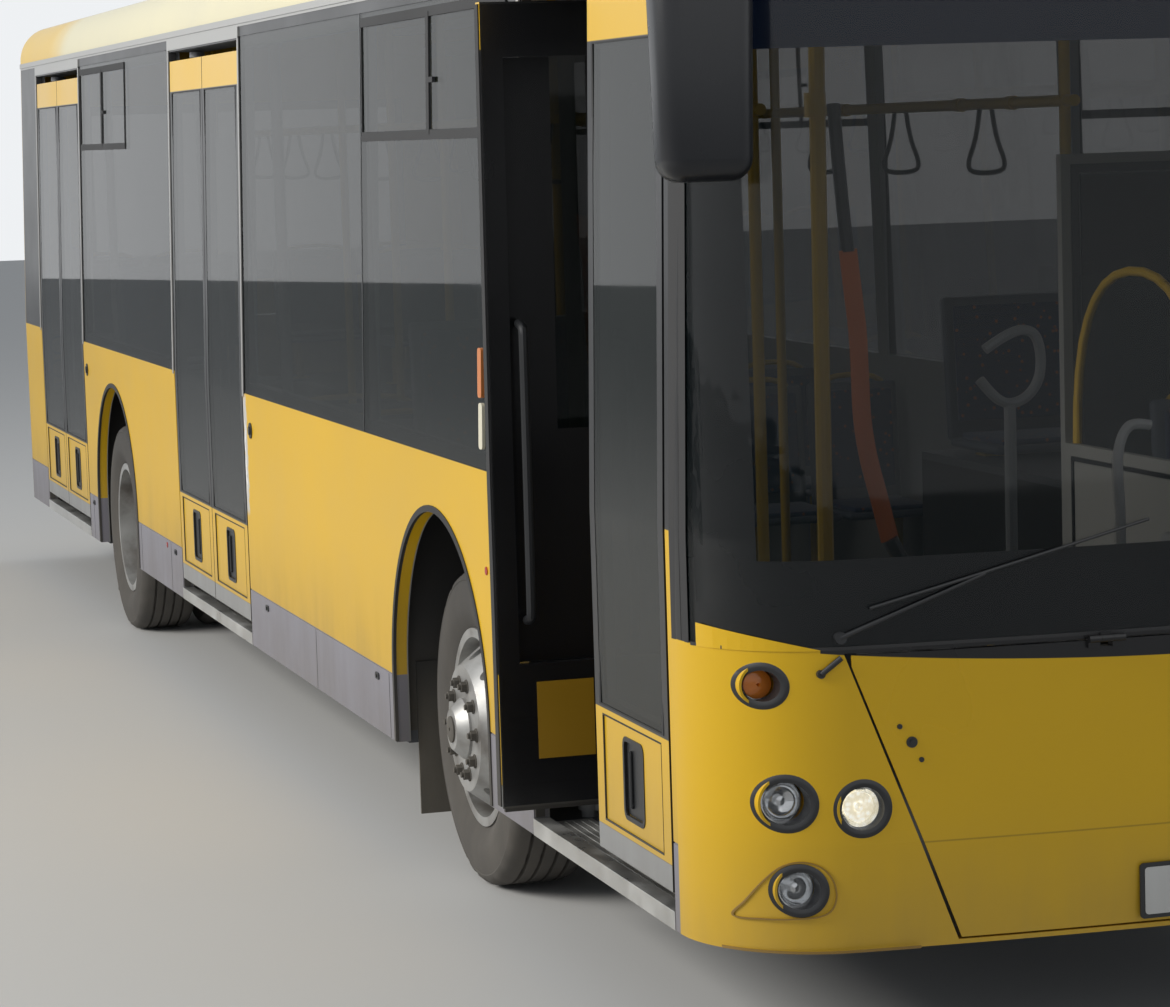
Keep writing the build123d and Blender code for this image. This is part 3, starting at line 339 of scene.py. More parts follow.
def sidePaint(tree):
    # Yellow over a lilac skirt, black behind the glass, old paint showing by the doorway, plain inside
    place, x, y, z = objectPoint(tree)
    skirt = ramp(tree, z, body["seam"] - 0.001, body["seam"] + 0.001, 1.0, 0.0)
    colour = mixColour(tree, skirt, tone["yellow"], tone["lilac"])
    rag = calc(tree, "MULTIPLY", calc(tree, "SUBTRACT", noiseAt(tree, place, 14.0, 5.0), 0.5), oldPaint["ragged"])
    torn = calc(tree, "ADD", x, rag)
    patch = calc(tree, "MULTIPLY", between(tree, torn, *oldPaint["x"], 0.003), between(tree, z, *oldPaint["z"], 0.02))
    patch = calc(tree, "MULTIPLY", patch, ramp(tree, y, -1.20, -1.24))
    colour = mixColour(tree, patch, colour, tone["primer"])
    bare = calc(tree, "MULTIPLY", between(tree, torn, *oldPaint["bareX"], 0.002),
                between(tree, z, *oldPaint["bareZ"], 0.02))
    colour = mixColour(tree, calc(tree, "MULTIPLY", bare, patch), colour, tone["bare"])
    behind = ramp(tree, z, body["belt"] + 0.003, body["belt"] + 0.006)
    colour = mixColour(tree, behind, colour, tone["black"])
    lined = ramp(tree, calc(tree, "ABSOLUTE", y), liningY + 0.002, liningY - 0.002)
    return mixColour(tree, lined, colour, tone["inner"])


# The windscreen's visible lower edge: a shallow curve, steeper round the corners
front = {
    "edgeMiddle": 0.996, "edgeRise": 0.048, "edgeKnee": 0.97, "edgeSlope": 0.235, "foldZ": 0.5985,
}


def aboveEdge(tree, y, z):
    # Mask of what lies above that edge, and y as a share of its knee
    part = calc(tree, "DIVIDE", calc(tree, "ABSOLUTE", y), front["edgeKnee"])
    rise = calc(tree, "MULTIPLY", calc(tree, "POWER", part, 2.0), front["edgeRise"])
    edge = calc(tree, "ADD", rise, front["edgeMiddle"])
    return ramp(tree, calc(tree, "SUBTRACT", z, edge), -0.001, 0.001), part


def frontPaint(tree):
    # Yellow below the windscreen, black round it and inside
    _, _, y, z = objectPoint(tree)
    above, part = aboveEdge(tree, y, z)
    above = calc(tree, "MULTIPLY", above, ramp(tree, part, 1.060, 1.062, 1.0, 0.0))
    behind = calc(tree, "MAXIMUM", above, ramp(tree, z, body["screen"] - 0.002, body["screen"]))
    return mixColour(tree, behind, tone["yellow"], tone["black"])


def hatchPaint(tree):
    # The hatch is black above the edge; lower down a darker yellow line is painted as the shade of the fold pressed
    # into it
    _, _, y, z = objectPoint(tree)
    above, _ = aboveEdge(tree, y, z)
    colour = mixColour(tree, above, tone["yellow"], tone["black"])
    # a thin band at the fold's height, half way to the darker yellow: painted shade of the fold
    fold = between(tree, z, front["foldZ"] - 0.002, front["foldZ"] + 0.002, 0.0015)
    return mixColour(tree, calc(tree, "MULTIPLY", fold, 0.5), colour, tone["fold"])


rearZones = {"window": (1.498, 2.482), "windowHalf": 0.902, "skirt": (0.470, 0.472)}


def rearPaint(tree):
    # Yellow over a lilac skirt, black behind the window
    _, _, y, z = objectPoint(tree)
    half = rearZones["windowHalf"]
    screen = between(tree, z, *rearZones["window"], 0.001)
    screen = calc(tree, "MULTIPLY", screen, between(tree, y, -half, half, 0.001))
    colour = mixColour(tree, screen, tone["yellow"], tone["black"])
    skirt = ramp(tree, z, *rearZones["skirt"], 1.0, 0.0)
    return mixColour(tree, skirt, colour, tone["lilac"])


roofZones = {"yellowFrom": (-4.05, -4.75), "greyFrom": (2.895, 2.925)}


def roofPaint(tree):
    # Cream cove that turns yellow towards the rear, pale grey on top
    place, x, _, z = objectPoint(tree)
    wave = calc(tree, "MULTIPLY", calc(tree, "SUBTRACT", noiseAt(tree, place, 1.5, 2.0), 0.5), 0.5)
    rear = ramp(tree, calc(tree, "ADD", x, wave), *roofZones["yellowFrom"])
    colour = mixColour(tree, rear, tone["cream"], tone["cove"])
    return mixColour(tree, ramp(tree, z, *roofZones["greyFrom"]), colour, tone["roofGrey"])


doorZones = {"band": (2.474, 2.477), "kick": (0.505, 0.806), "foot": (0.503, 0.505)}


def doorPaint(tree):
    # Yellow top band and kick panel, black frame between, grey foot; the inner face is black
    facing = tree.nodes.new("ShaderNodeTexCoord")
    _, _, _, z = objectPoint(tree)
    colour = mixColour(tree, ramp(tree, z, *doorZones["band"]), tone["black"], tone["yellow"])
    colour = mixColour(tree, between(tree, z, *doorZones["kick"], 0.001), colour, tone["yellow"])
    colour = mixColour(tree, ramp(tree, z, *doorZones["foot"], 1.0, 0.0), colour, tone["grey"])
    split = tree.nodes.new("ShaderNodeSeparateXYZ")
    tree.links.new(facing.outputs["Normal"], split.inputs[0])
    outward = calc(tree, "MINIMUM", split.outputs[0], split.outputs[1])
    outside = ramp(tree, outward, -0.93, -0.97)
    return mixColour(tree, outside, tone["black"], colour)


# Coats that several paints share
frontCoat = {"rough": 0.30, "grain": 90.0, "tone": 0.05, "bump": 0.02, "dust": 0.35, "dustTop": 0.75,
             "Coat Weight": 0.15, "Coat Roughness": 0.12, "Specular IOR Level": 0.35}
softCoat = {"Coat Weight": 0.2, "Coat Roughness": 0.2}
matYellow = finishSurface("yellowPaint", tone["yellow"], **frontCoat)
matSide = finishSurface("sidePaint", None, rough=0.33, grain=90.0, tone=0.06, bump=0.02, dust=0.55, dustTop=0.95,
                        paint=sidePaint, **{"Coat Weight": 0.12, "Coat Roughness": 0.15, "Specular IOR Level": 0.35})
matFront = finishSurface("frontPaint", None, paint=frontPaint, **frontCoat)
matHatch = finishSurface("hatchPaint", None, paint=hatchPaint, **frontCoat)
matRear = finishSurface("rearPaint", None, rough=0.34, grain=90.0, tone=0.07, bump=0.02, dust=0.9, dustTop=1.6,
                        paint=rearPaint, **{"Coat Weight": 0.25, "Coat Roughness": 0.2})
matRoof = finishSurface("roofPaint", None, rough=0.38, grain=70.0, tone=0.10, cloud=1.3, bump=0.03, paint=roofPaint,
                        **softCoat)
matDoor = finishSurface("doorPaint", None, rough=0.36, grain=90.0, tone=0.05, bump=0.02, dust=0.5, dustTop=0.9,
                        paint=doorPaint, **softCoat)
matBlackPaint = finishSurface("blackEnamel", tone["black"], rough=0.24, grain=140.0, tone=0.2, bump=0.02)
matNavy = finishSurface("navyEnamel", tone["navy"], rough=0.22, grain=140.0, tone=0.2, bump=0.02)
matRubber = finishSurface("sealRubber", (0.020, 0.020, 0.021), rough=0.62, grain=260.0, tone=0.2, bump=0.15, dust=0.4)
matPlastic = finishSurface("blackPlastic", (0.018, 0.019, 0.021), rough=0.42, grain=520.0, tone=0.15, bump=0.12)
matMirror = finishSurface("mirrorShell", (0.010, 0.011, 0.014), rough=0.28, grain=520.0, tone=0.15, bump=0.03)
matGrey = finishSurface("greyPanel", tone["grey"], rough=0.42, grain=160.0, tone=0.08, bump=0.04, dust=0.3, dustTop=3.2)
matTrim = finishSurface("paleTrim", (0.46, 0.46, 0.45), rough=0.38, metal=0.3, grain=220.0, tone=0.1, bump=0.04,
                        dust=0.3, dustTop=2.8)
matSill = finishSurface("sillAluminium", (0.72, 0.72, 0.70), rough=0.30, metal=0.9, grain=180.0, tone=0.14, cloud=9.0,
                        gloss=0.3, bump=0.1, dust=0.25, dustTop=0.6)
matIron = finishSurface("underIron", (0.035, 0.034, 0.033), rough=0.62, grain=120.0, tone=0.3, bump=0.3, dust=0.7,
                        dustTop=0.8)
matEngine = finishSurface("engineIron", (0.09, 0.085, 0.078), rough=0.6, metal=0.4, grain=90.0, tone=0.3, bump=0.3,
                          dust=0.6, dustTop=1.1)
matFloor = finishSurface("floorVinyl", (0.095, 0.10, 0.11), rough=0.52, grain=900.0, tone=0.15, bump=0.1)
matLining = finishSurface("cabinLining", (0.33, 0.33, 0.31), rough=0.5, grain=400.0, tone=0.06, bump=0.05)
matDash = finishSurface("dashPlastic", (0.040, 0.042, 0.046), rough=0.55, grain=650.0, tone=0.12, bump=0.2)
matRail = finishSurface("railPaint", (0.70, 0.45, 0.02), rough=0.3, grain=160.0, tone=0.05, bump=0.02)
matOrange = finishSurface("orangeStrap", (0.72, 0.17, 0.02), rough=0.42, grain=200.0, tone=0.08, bump=0.05)
matFlap = finishSurface("flapRubber", (0.022, 0.022, 0.022), rough=0.7, grain=110.0, tone=0.25, bump=0.3, dust=0.9,
                        dustTop=0.7)
matShell = finishSurface("seatShell", (0.10, 0.12, 0.16), rough=0.45, grain=500.0, tone=0.06, bump=0.08)
matPlate = finishSurface("blankPlate", (0.78, 0.78, 0.76), rough=0.35, grain=300.0, tone=0.04, bump=0.02, dust=0.4)
matRed = finishSurface("redLens", (0.42, 0.012, 0.010), rough=0.16, grain=60.0, tone=0.1, bump=0.1)
matAmber = finishSurface("amberLens", (0.62, 0.18, 0.02), rough=0.16, grain=60.0, tone=0.1, bump=0.1)
matMarker = finishSurface("markerOrange", (0.66, 0.22, 0.06), rough=0.3, grain=60.0, tone=0.1, bump=0.05)
matWhite = finishSurface("whiteMark", (0.74, 0.70, 0.55), rough=0.35, grain=60.0, tone=0.1, bump=0.05)
# Dark ochre: the yellow kick panel as it looks in shadow, a painted shade
matShadedYellow = finishSurface("ochrePanel", (0.42, 0.23, 0.012), rough=0.4, grain=120.0, tone=0.12, bump=0.05)
matChrome = finishSurface("reflectorBowl", (0.78, 0.79, 0.80), rough=0.10, metal=1.0, grain=60.0, tone=0.08, bump=0.1)


def seatCloth():
    material, tree, shader = startMaterial("seatCloth", {"Roughness": 0.85, "Sheen Weight": 0.3})
    place = objectPlace(tree)
    weave = addNode(tree, "ShaderNodeTexWave", {"Scale": 160.0, "Distortion": 1.5}, wave_type="BANDS")
    tree.links.new(place, weave.inputs["Vector"])
    fleck = addNode(tree, "ShaderNodeTexVoronoi", {"Scale": 34.0})
    tree.links.new(place, fleck.inputs["Vector"])
    spots = ramp(tree, fleck.outputs["Distance"], 0.16, 0.24, 1.0, 0.0)
    colour = mixColour(tree, spots, (0.030, 0.055, 0.14), (0.30, 0.10, 0.05))
    colour = mixColour(tree, calc(tree, "MULTIPLY", weave.outputs["Fac"], 0.25), colour, (0.02, 0.03, 0.05))
    tree.links.new(colour, shader.inputs["Base Color"])
    bumpFrom(tree, shader, weave.outputs["Fac"], 0.3, 0.001)
    return material


def tyreRubber():
    material, tree, shader = startMaterial("tyreRubber", {"Specular IOR Level": 0.35})
    grains = placeGroup(tree, grainGroup, {"Colour": (0.040, 0.040, 0.041), "Scale": 190.0, "Tone": 0.25, "Cloud": 7.0,
                                           "Roughness": 0.74, "Gloss": 0.15})
    film = placeGroup(tree, dustGroup, {"Dust": (0.17, 0.155, 0.135), "Top": 1.5, "Amount": 0.55},
                      {"Colour": grains.outputs["Colour"], "Roughness": grains.outputs["Roughness"]})
    tree.links.new(film.outputs["Colour"], shader.inputs["Base Color"])
    tree.links.new(film.outputs["Roughness"], shader.inputs["Roughness"])
    bumpFrom(tree, shader, grains.outputs["Height"], 0.35, 0.0015)
    return material


def wheelSilver():
    # Silver paint with brake dust round the hub and chipped spots
    material, tree, shader = startMaterial("wheelSilver", {"Metallic": 0.55})
    place = objectPlace(tree)
    chips = placeGroup(tree, scuffGroup, {"Scale": 22.0, "Amount": 0.8})
    soot = noiseAt(tree, place, 5.0, 6.0)
    colour = mixColour(tree, ramp(tree, soot, 0.40, 0.75), (0.44, 0.44, 0.43), (0.17, 0.155, 0.14))
    colour = mixColour(tree, chips.outputs["Mask"], colour, (0.13, 0.075, 0.045))
    grains = placeGroup(tree, grainGroup, {"Scale": 150.0, "Tone": 0.1, "Cloud": 11.0, "Roughness": 0.42, "Gloss": 0.2},
                        {"Colour": colour})
    tree.links.new(grains.outputs["Colour"], shader.inputs["Base Color"])
    tree.links.new(grains.outputs["Roughness"], shader.inputs["Roughness"])
    bumpFrom(tree, shader, grains.outputs["Height"], 0.12, 0.001)
    return material


def glassFinish(name, tint, opacity, rough=0.02, dirt=0.25):
    # Tinted pane; alpha lets part of the light straight through, so that the cabin is lit
    material, tree, shader = startMaterial(name, {"Transmission Weight": 0.0, "IOR": 1.45})
    place = objectPlace(tree)
    haze = ramp(tree, noiseAt(tree, place, 2.2, 6.0), 0.45, 0.80)
    drops = ramp(tree, noiseAt(tree, place, 60.0, 3.0), 0.62, 0.70)
    film = calc(tree, "MULTIPLY", calc(tree, "ADD", haze, calc(tree, "MULTIPLY", drops, 0.5)), dirt)
    colour = mixColour(tree, film, tint, (0.10, 0.10, 0.095))
    tree.links.new(colour, shader.inputs["Base Color"])
    tree.links.new(calc(tree, "ADD", calc(tree, "MULTIPLY", film, 0.25), rough), shader.inputs["Roughness"])
    tree.links.new(calc(tree, "ADD", calc(tree, "MULTIPLY", film, 0.10), opacity), shader.inputs["Alpha"])
    return material


matTint = glassFinish("tintedGlass", (0.005, 0.008, 0.006), 0.62, dirt=0.06)
matDoorGlass = glassFinish("doorGlass", (0.008, 0.011, 0.009), 0.70, dirt=0.06)
matScreen = glassFinish("screenGlass", (0.003, 0.007, 0.008), 0.36, dirt=0.05)
matCabGlass = glassFinish("cabGlass", (0.02, 0.03, 0.03), 0.18, dirt=0.2)
matLens = glassFinish("clearLens", (0.30, 0.31, 0.32), 0.16, dirt=0.2)
matSeat = seatCloth()
matTyre = tyreRubber()
matWheel = wheelSilver()
print("materials ready")

nodeFinish = {
    "floor": matFloor, "bench_platform": matFloor, "platform_tops": matFloor, "cant_rail_right": matSide,
    "door_sills": matSide, "platform_sides": matIron, "platform_ends": matIron, "chassis_frame": matIron,
    "tow_eyes": matIron, "body_side_right": matSide, "body_side_left": matSide, "roof": matRoof,
    "front_mask": matFront, "windscreen": matScreen, "rear_wall": matRear, "rear_window": matTint,
    "side_windows": matTint, "lamps_front": matLens, "lamps_rear": matRed, "mirrors": matMirror,
    "wipers": matPlastic, "seats": matShell, "handrails": matRail, "dashboard": matDash,
    "cab_partition": matLining, "engine_block": matEngine, "front_axle": matIron, "rear_axle": matIron,
    "mud_flaps": matFlap, "front_hatch": matHatch, "engine_lid": matRear, "knuckle_right": matIron,
    "knuckle_left": matIron,
}


def finishFor(name):
    if name in nodeFinish:
        return nodeFinish[name]
    for part, material in (("_leaf_", matDoor), ("_glass_", matDoorGlass), ("_arm_", matGrey), ("rim_", matWheel),
                           ("tyre", matTyre)):
        if part in name:
            return material
    return matPlastic


for name, node in nodes.items():
    node.data.materials.clear()
    node.data.materials.append(finishFor(name))

# Mesh helpers: flat shapes are made in (u, v, depth) and then wrapped on a skin of the bus
sunk = 0.001  # how deep the back of a flat piece lies in the skin that carries it


def frontSkin(u, v, depth):
    return Vector((endX(noseShape, u, v, depth), u, v))


def rearSkin(u, v, depth):
    return Vector((endX(tailShape, u, v, depth), u, v))


def rightSkin(u, v, depth):
    return Vector((u, depth - sideY(v), v))


def leftSkin(u, v, depth):
    return Vector((u, sideY(v) - depth, v))


def wrapOn(verts, skin):
    for vert in verts:
        vert.co = skin(*vert.co)


def thicken(bm, faces, far):
    # A closed slab: the faces and a copy of them at the far depth
    out = bmesh.ops.extrude_face_region(bm, geom=faces)
    fresh = [item for item in out["geom"] if isinstance(item, bmesh.types.BMVert)]
    for vert in fresh:
        vert.co.z = far
    return fresh


def addPatch(bm, skin, across, upwards, near, far, cells=(1, 1)):
    made = bmesh.ops.create_grid(bm, x_segments=cells[0], y_segments=cells[1], size=0.5)["verts"]
    for vert in made:
        u = across[0] + (vert.co.x + 0.5) * (across[1] - across[0])
        v = upwards[0] + (vert.co.y + 0.5) * (upwards[1] - upwards[0])
        vert.co = (u, v, near)
    faces = list({face for vert in made for face in vert.link_faces})
    wrapOn(made + thicken(bm, faces, far), skin)


def addRibbon(bm, skin, route, width, near, far, closed=False):
    # A flat strip along a route of (u, v) points
    points = [Vector(point) for point in route]
    count = len(points)
    rows = []
    for index, point in enumerate(points):
        before = points[index - 1] if index or closed else point
        after = points[(index + 1) % count] if index < count - 1 or closed else point
        way = (after - before).normalized()
        off = Vector((-way.y, way.x)) * width / 2
        rows.append([bm.verts.new((*(point + off), near)), bm.verts.new((*(point - off), near))])
    pairs = list(zip(rows, rows[1:])) + ([(rows[-1], rows[0])] if closed else [])
    faces = [bm.faces.new((a[0], a[1], b[1], b[0])) for a, b in pairs]
    wrapOn([vert for row in rows for vert in row] + thicken(bm, faces, far), skin)


def addShape(bm, skin, outline, near, far):
    made = [bm.verts.new((*point, near)) for point in outline]
    face = bm.faces.new(made)
    wrapOn(made + thicken(bm, [face], far), skin)


def roundedOutline(u, v, width, height, radius, steps=5):
    points = []
    for quarter, (a, b) in enumerate(((1, 1), (-1, 1), (-1, -1), (1, -1))):
        for step in range(steps + 1):
            turn = (quarter + step / steps) * pi / 2
            points.append((u + a * (width / 2 - radius) + radius * cos(turn),
                           v + b * (height / 2 - radius) + radius * sin(turn)))
    return points


def arcRoute(u, v, radius, first, last, steps):
    return [(u + radius * cos(radians(first + (last - first) * k / steps)),
             v + radius * sin(radians(first + (last - first) * k / steps))) for k in range(steps + 1)]


def evenRoute(half, v, steps):
    # Points along u from -half to half
    return [(-half + 2 * half * k / steps, v) for k in range(steps + 1)]


def addDot(bm, skin, u, v, radius, near, far, steps=20):
    addShape(bm, skin, arcRoute(u, v, radius, 0, 360 - 360 / steps, steps - 1), near, far)


def addBox(bm, low, high, bevel=0.0, segments=2, place=None):
    size = Vector(high) - Vector(low)
    middle = (Vector(high) + Vector(low)) / 2
    matrix = (place or Matrix()) @ Matrix.Translation(middle) @ Matrix.Diagonal((*size, 1.0))
    made = bmesh.ops.create_cube(bm, size=1.0, matrix=matrix)["verts"]
    if bevel:
        edges = list({edge for vert in made for edge in vert.link_edges})
        bmesh.ops.bevel(bm, geom=edges, offset=bevel, offset_type="OFFSET", affect="EDGES", segments=segments,
                        profile=0.5, material=-1)


def addRod(bm, start, end, radius, segments=14, endRadius=None):
    start, end = Vector(start), Vector(end)
    turn = (end - start).to_track_quat("Z", "Y").to_matrix().to_4x4()
    bmesh.ops.create_cone(bm, cap_ends=True, segments=segments, radius1=radius,
                          radius2=radius if endRadius is None else endRadius, depth=(end - start).length,
                          matrix=Matrix.Translation((start + end) / 2) @ turn)


def addTurned(bm, profile, centre, axis, steps=48):
    # A closed profile of (distance along the axis, radius) spun about an axle along X or Y
    centre, axis = Vector(centre), Vector(axis)
    made = [bm.verts.new(centre + axis * along + Vector((0, 0, radius))) for along, radius in profile]
    edges = [bm.edges.new((made[k - 1], made[k])) for k in range(len(made))]
    bmesh.ops.spin(bm, geom=made + edges, cent=centre, axis=axis, dvec=(0, 0, 0), angle=2 * pi, steps=steps,
                   use_merge=True, use_duplicate=False)


def addTube(bm, route, radius, sides=10, smooth=3):
    # A bent tube through the points, its path a smooth curve
    curve = bpy.data.curves.new("tubePath", "CURVE")
    curve.dimensions = "3D"
    spline = curve.splines.new("NURBS")
    spline.points.add(len(route) - 1)
    for point, place in zip(spline.points, route):
        point.co = (*place, 1.0)
    spline.use_endpoint_u = True
    spline.order_u = 3
    spline.resolution_u = smooth
    curve.bevel_depth = radius
    curve.bevel_resolution = max(1, sides // 4)
    curve.use_fill_caps = True
    holder = bpy.data.objects.new("tubePath", curve)
    mesh = bpy.data.meshes.new_from_object(holder)
    bm.from_mesh(mesh)
    bpy.data.objects.remove(holder)
    bpy.data.curves.remove(curve)
    bpy.data.meshes.remove(mesh)


def finishPiece(bm, name, material, rides="root", slot=None, stands=(), sharp=35.0, place=None):
    bmesh.ops.remove_doubles(bm, verts=bm.verts, dist=0.00004)
    if place:
        bmesh.ops.transform(bm, matrix=place, verts=bm.verts)
    bmesh.ops.recalc_face_normals(bm, faces=bm.faces)
    mesh = bpy.data.meshes.new(name)
    bm.to_mesh(mesh)
    bm.free()
    mesh.shade_smooth()
    mesh.set_sharp_from_angle(angle=radians(sharp))
    mesh.materials.append(material)
    piece = bpy.data.objects.new(name, mesh)
    bpy.context.scene.collection.objects.link(piece)
    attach(piece, rides)
    if stands:
        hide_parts(*stands)


def makePiece(name, material, rides, slot, parts, **finish):
    # One piece of several parts, each a builder and what it takes after the mesh
    bm = bmesh.new()
    for build, *values in parts:
        build(bm, *values)
    finishPiece(bm, name, material, rides, slot, **finish)


# Wheels: tyres with grooves and shoulder blocks, nuts and hub caps on the disc rims
tyre = {"radius": 0.479, "steps": 120, "notch": 0.006, "pitch": 4, "shoulder": (0.452, 0.4775)}
tyreHalf = [
    (0.017, 0.4790), (0.019, 0.4680), (0.026, 0.4680), (0.028, 0.4790), (0.060, 0.4788), (0.062, 0.4670),
    (0.070, 0.4670), (0.072, 0.4785), (0.098, 0.4765), (0.112, 0.4700), (0.124, 0.4600), (0.129, 0.4470),
    (0.1275, 0.4430), (0.133, 0.4200), (0.138, 0.3850), (0.1365, 0.3600), (0.130, 0.3370), (0.1275, 0.3330),
    (0.124, 0.3230), (0.112, 0.3060), (0.108, 0.3003)]
nut = {"count": 10, "size": 0.016}
axles = {  # place, the tyres' middles, the disc's face, the circle of nuts and the cap's profile beyond the face
    "front": {"x": 3.275, "tyres": (1.042,), "face": 1.200, "circle": 0.140,
              "cap": ((0.038, 0.006), (0.038, 0.040), (0.045, 0.040), (0.047, 0.034), (0.047, 0.006))},
    "rear": {"x": -2.865, "tyres": (1.112, 0.796), "face": 0.954, "circle": 0.142},
}


def addTyres(bm, axle, hand):
    profile = tyreHalf + [(-along, radius) for along, radius in reversed(tyreHalf)]
    x = axle["x"]
    for y in axle["tyres"]:
        addTurned(bm, profile, (x, hand * y, tyre["radius"]), (0, 1, 0), tyre["steps"])
    low, high = tyre["shoulder"]
    for vert in bm.verts:  # every few steps the shoulder sinks, which leaves blocks along the tread's edge
        flat = Vector((vert.co.x - x, 0, vert.co.z - tyre["radius"]))
        radius = flat.length
        step = round(atan2(flat.z, flat.x) / (2 * pi) * tyre["steps"])
        if low < radius < high and step % tyre["pitch"] == 0:
            flat *= (radius - tyre["notch"]) / radius
            vert.co = (x + flat.x, vert.co.y, tyre["radius"] + flat.z)


def addNuts(bm, axle, hand):
    # Wheel nuts in a ring, each a hexagon on a washer with the stud's end proud, and the hub cap
    circle, size = axle["circle"], nut["size"]
    out = Vector((0, hand, 0))
    for k in range(nut["count"]):
        turn = 2 * pi * k / nut["count"]
        spot = Vector((axle["x"] + circle * cos(turn), axle["face"] * hand, tyre["radius"] + circle * sin(turn)))
        addRod(bm, spot, spot + out * 0.003, size * 1.35, 14)
        addRod(bm, spot + out * 0.003, spot + out * 0.020, size, 6)
        addRod(bm, spot + out * 0.020, spot + out * 0.028, size * 0.55, 8)
    if "cap" in axle:
        cap = [(hand * (axle["face"] + along), radius) for along, radius in axle["cap"]]
        addTurned(bm, cap, (axle["x"], 0, tyre["radius"]), (0, 1, 0), 28)


for hand, end in ((-1, "right"), (1, "left")):
    for key, name, old in (("front", "frontTyre_", "tyre_front_"), ("rear", "rearTyres_", "tyres_rear_")):
        makePiece(name + end, matTyre, "wheel_" + key + "_" + end, "tyre", [(addTyres, axles[key], hand)],
                  stands=[old + end], sharp=30)
    for key, axle in axles.items():
        makePiece(key + "Nuts_" + end, matEngine, "wheel_" + key + "_" + end, "wheel_steel", [(addNuts, axle, hand)])
print("wheels ready")

# Front: black enamel behind the windscreen, yellow corner plates over it and the seals
screen = {
    "depths": (0.0045, 0.0060), "low": (1.064, 1.262), "top": (2.425, 2.688), "sides": (1.16, 2.50),
    "halfLow": 1.262, "halfTop": 1.225, "sealLow": 1.060, "sealTop": 2.692, "sealBack": 5.630,
}


def screenEdge(y):
    # Height of the windscreen's visible lower edge
    y = abs(y)
    inner = min(y, front["edgeKnee"]) / front["edgeKnee"]
    return front["edgeMiddle"] + front["edgeRise"] * inner ** 2 + front["edgeSlope"] * max(0.0, y - front["edgeKnee"])


def cornerY(z, x):
    # Distance from the middle at which the front skin reaches back to x
    low, high = 0.9, sideY(z)
    for _ in range(30):
        middle = (low + high) / 2
        low, high = (middle, high) if endX(noseShape, middle, z) > x else (low, middle)
    return low


def screenSeal(bm):
    low, top = screen["sealLow"], screen["sealTop"]
    addRibbon(bm, frontSkin, evenRoute(screen["halfLow"], low, 60), 0.008, -0.002, 0.006)
    addRibbon(bm, frontSkin, evenRoute(screen["halfTop"], top, 60), 0.010, -0.002, 0.006)
    for hand in (-1, 1):
        route = [(hand * cornerY(z, screen["sealBack"]), z) for z in (low, 1.31, 1.7, 2.1, 2.5, top)]
        addRibbon(bm, frontSkin, route, 0.012, -0.002, 0.006)


def screenCorners(bm):
    for hand in (-1, 1):
        foot = [(hand * (1.03 + 0.225 * k / 10), 1.056) for k in range(11)]
        head = [(u, max(1.0575, screenEdge(u))) for u, _ in foot]
        for (a, b), (c, d) in zip(zip(foot, foot[1:]), zip(head, head[1:])):
            addShape(bm, frontSkin, [a, b, d, c], -0.0024, 0.0004)


for name, material, key, spans, cells in (
        ("screenBandLow", matBlackPaint, "low", ((-1.262, 1.262),), 72),
        ("screenBandTop", matNavy, "top", ((-1.205, 1.205),), 72),
        ("screenBandSides", matBlackPaint, "sides", ((-1.250, -1.150), (1.150, 1.250)), 16)):
    makePiece(name, material, "root", "black_plastic", [
        (addPatch, frontSkin, span, screen[key], *screen["depths"], (cells, 1)) for span in spans])
makePiece("screenSeal", matRubber, "root", "black_plastic", [(screenSeal,)])
makePiece("screenCorners", matYellow, "root", "body_yellow", [(screenCorners,)])

# Lamps: bowl, bulb, ribbed lens and rim; those at each end share one maker
frontLamps = {
    "turn": {"z": 0.975, "y": 1.150, "r": 0.042, "lens": "amber"},
    "outer": {"z": 0.702, "y": 1.108, "r": 0.056, "lens": "clear"},
    "inner": {"z": 0.686, "y": 0.940, "r": 0.056, "lens": "lit"},
    "fog": {"z": 0.499, "y": 1.084, "r": 0.050, "lens": "clear"},
}
rearLamps = {
    "turn": {"z": 1.180, "y": 1.090, "r": 0.050, "lens": "amber"},
    "stop": {"z": 1.050, "y": 1.090, "r": 0.050, "lens": "red"},
    "tail": {"z": 0.920, "y": 1.090, "r": 0.050, "lens": "red"},
    "reverse": {"z": 0.790, "y": 1.090, "r": 0.050, "lens": "clear"},
}
lampRim = {"proud": 0.004, "wide": 0.013, "lensBack": 0.010, "dome": 0.006, "rib": 0.0008, "sleeve": 0.045}


def litMaterial():
    material, tree, shader = startMaterial("lampGlow", {"Roughness": 0.4, "Emission Strength": 1.0})
    place = objectPlace(tree)
    cell = addNode(tree, "ShaderNodeTexVoronoi", {"Scale": 90.0})
    tree.links.new(place, cell.inputs["Vector"])
    glow = mixColour(tree, ramp(tree, cell.outputs["Distance"], 0.1, 0.8), (1.0, 0.97, 0.86), (0.80, 0.72, 0.52))
    tree.links.new(glow, shader.inputs["Base Color"])
    tree.links.new(glow, shader.inputs["Emission Color"])
    return material


matGlow = litMaterial()
lensMaterials = {"clear": matLens, "lit": matLens, "amber": matAmber, "red": matRed}


def addLampRim(bm, shape, centre, axis, r):
    proud, wide, sleeve = (lampRim[key] for key in ("proud", "wide", "sleeve"))
    rim = [(-sleeve, r - 0.001), (-sleeve, r - 0.006), (0.001, r - 0.006), (proud, r + 0.001),
           (proud, r + 0.006), (0.0, r + wide), (-0.008, r + wide)]
    old = len(bm.verts)
    addTurned(bm, rim, centre, axis, 48)
    bm.verts.ensure_lookup_table()
    for vert in bm.verts[old:]:  # the ring follows the curved skin
        vert.co.x += endX(shape, abs(vert.co.y), vert.co.z) - centre.x


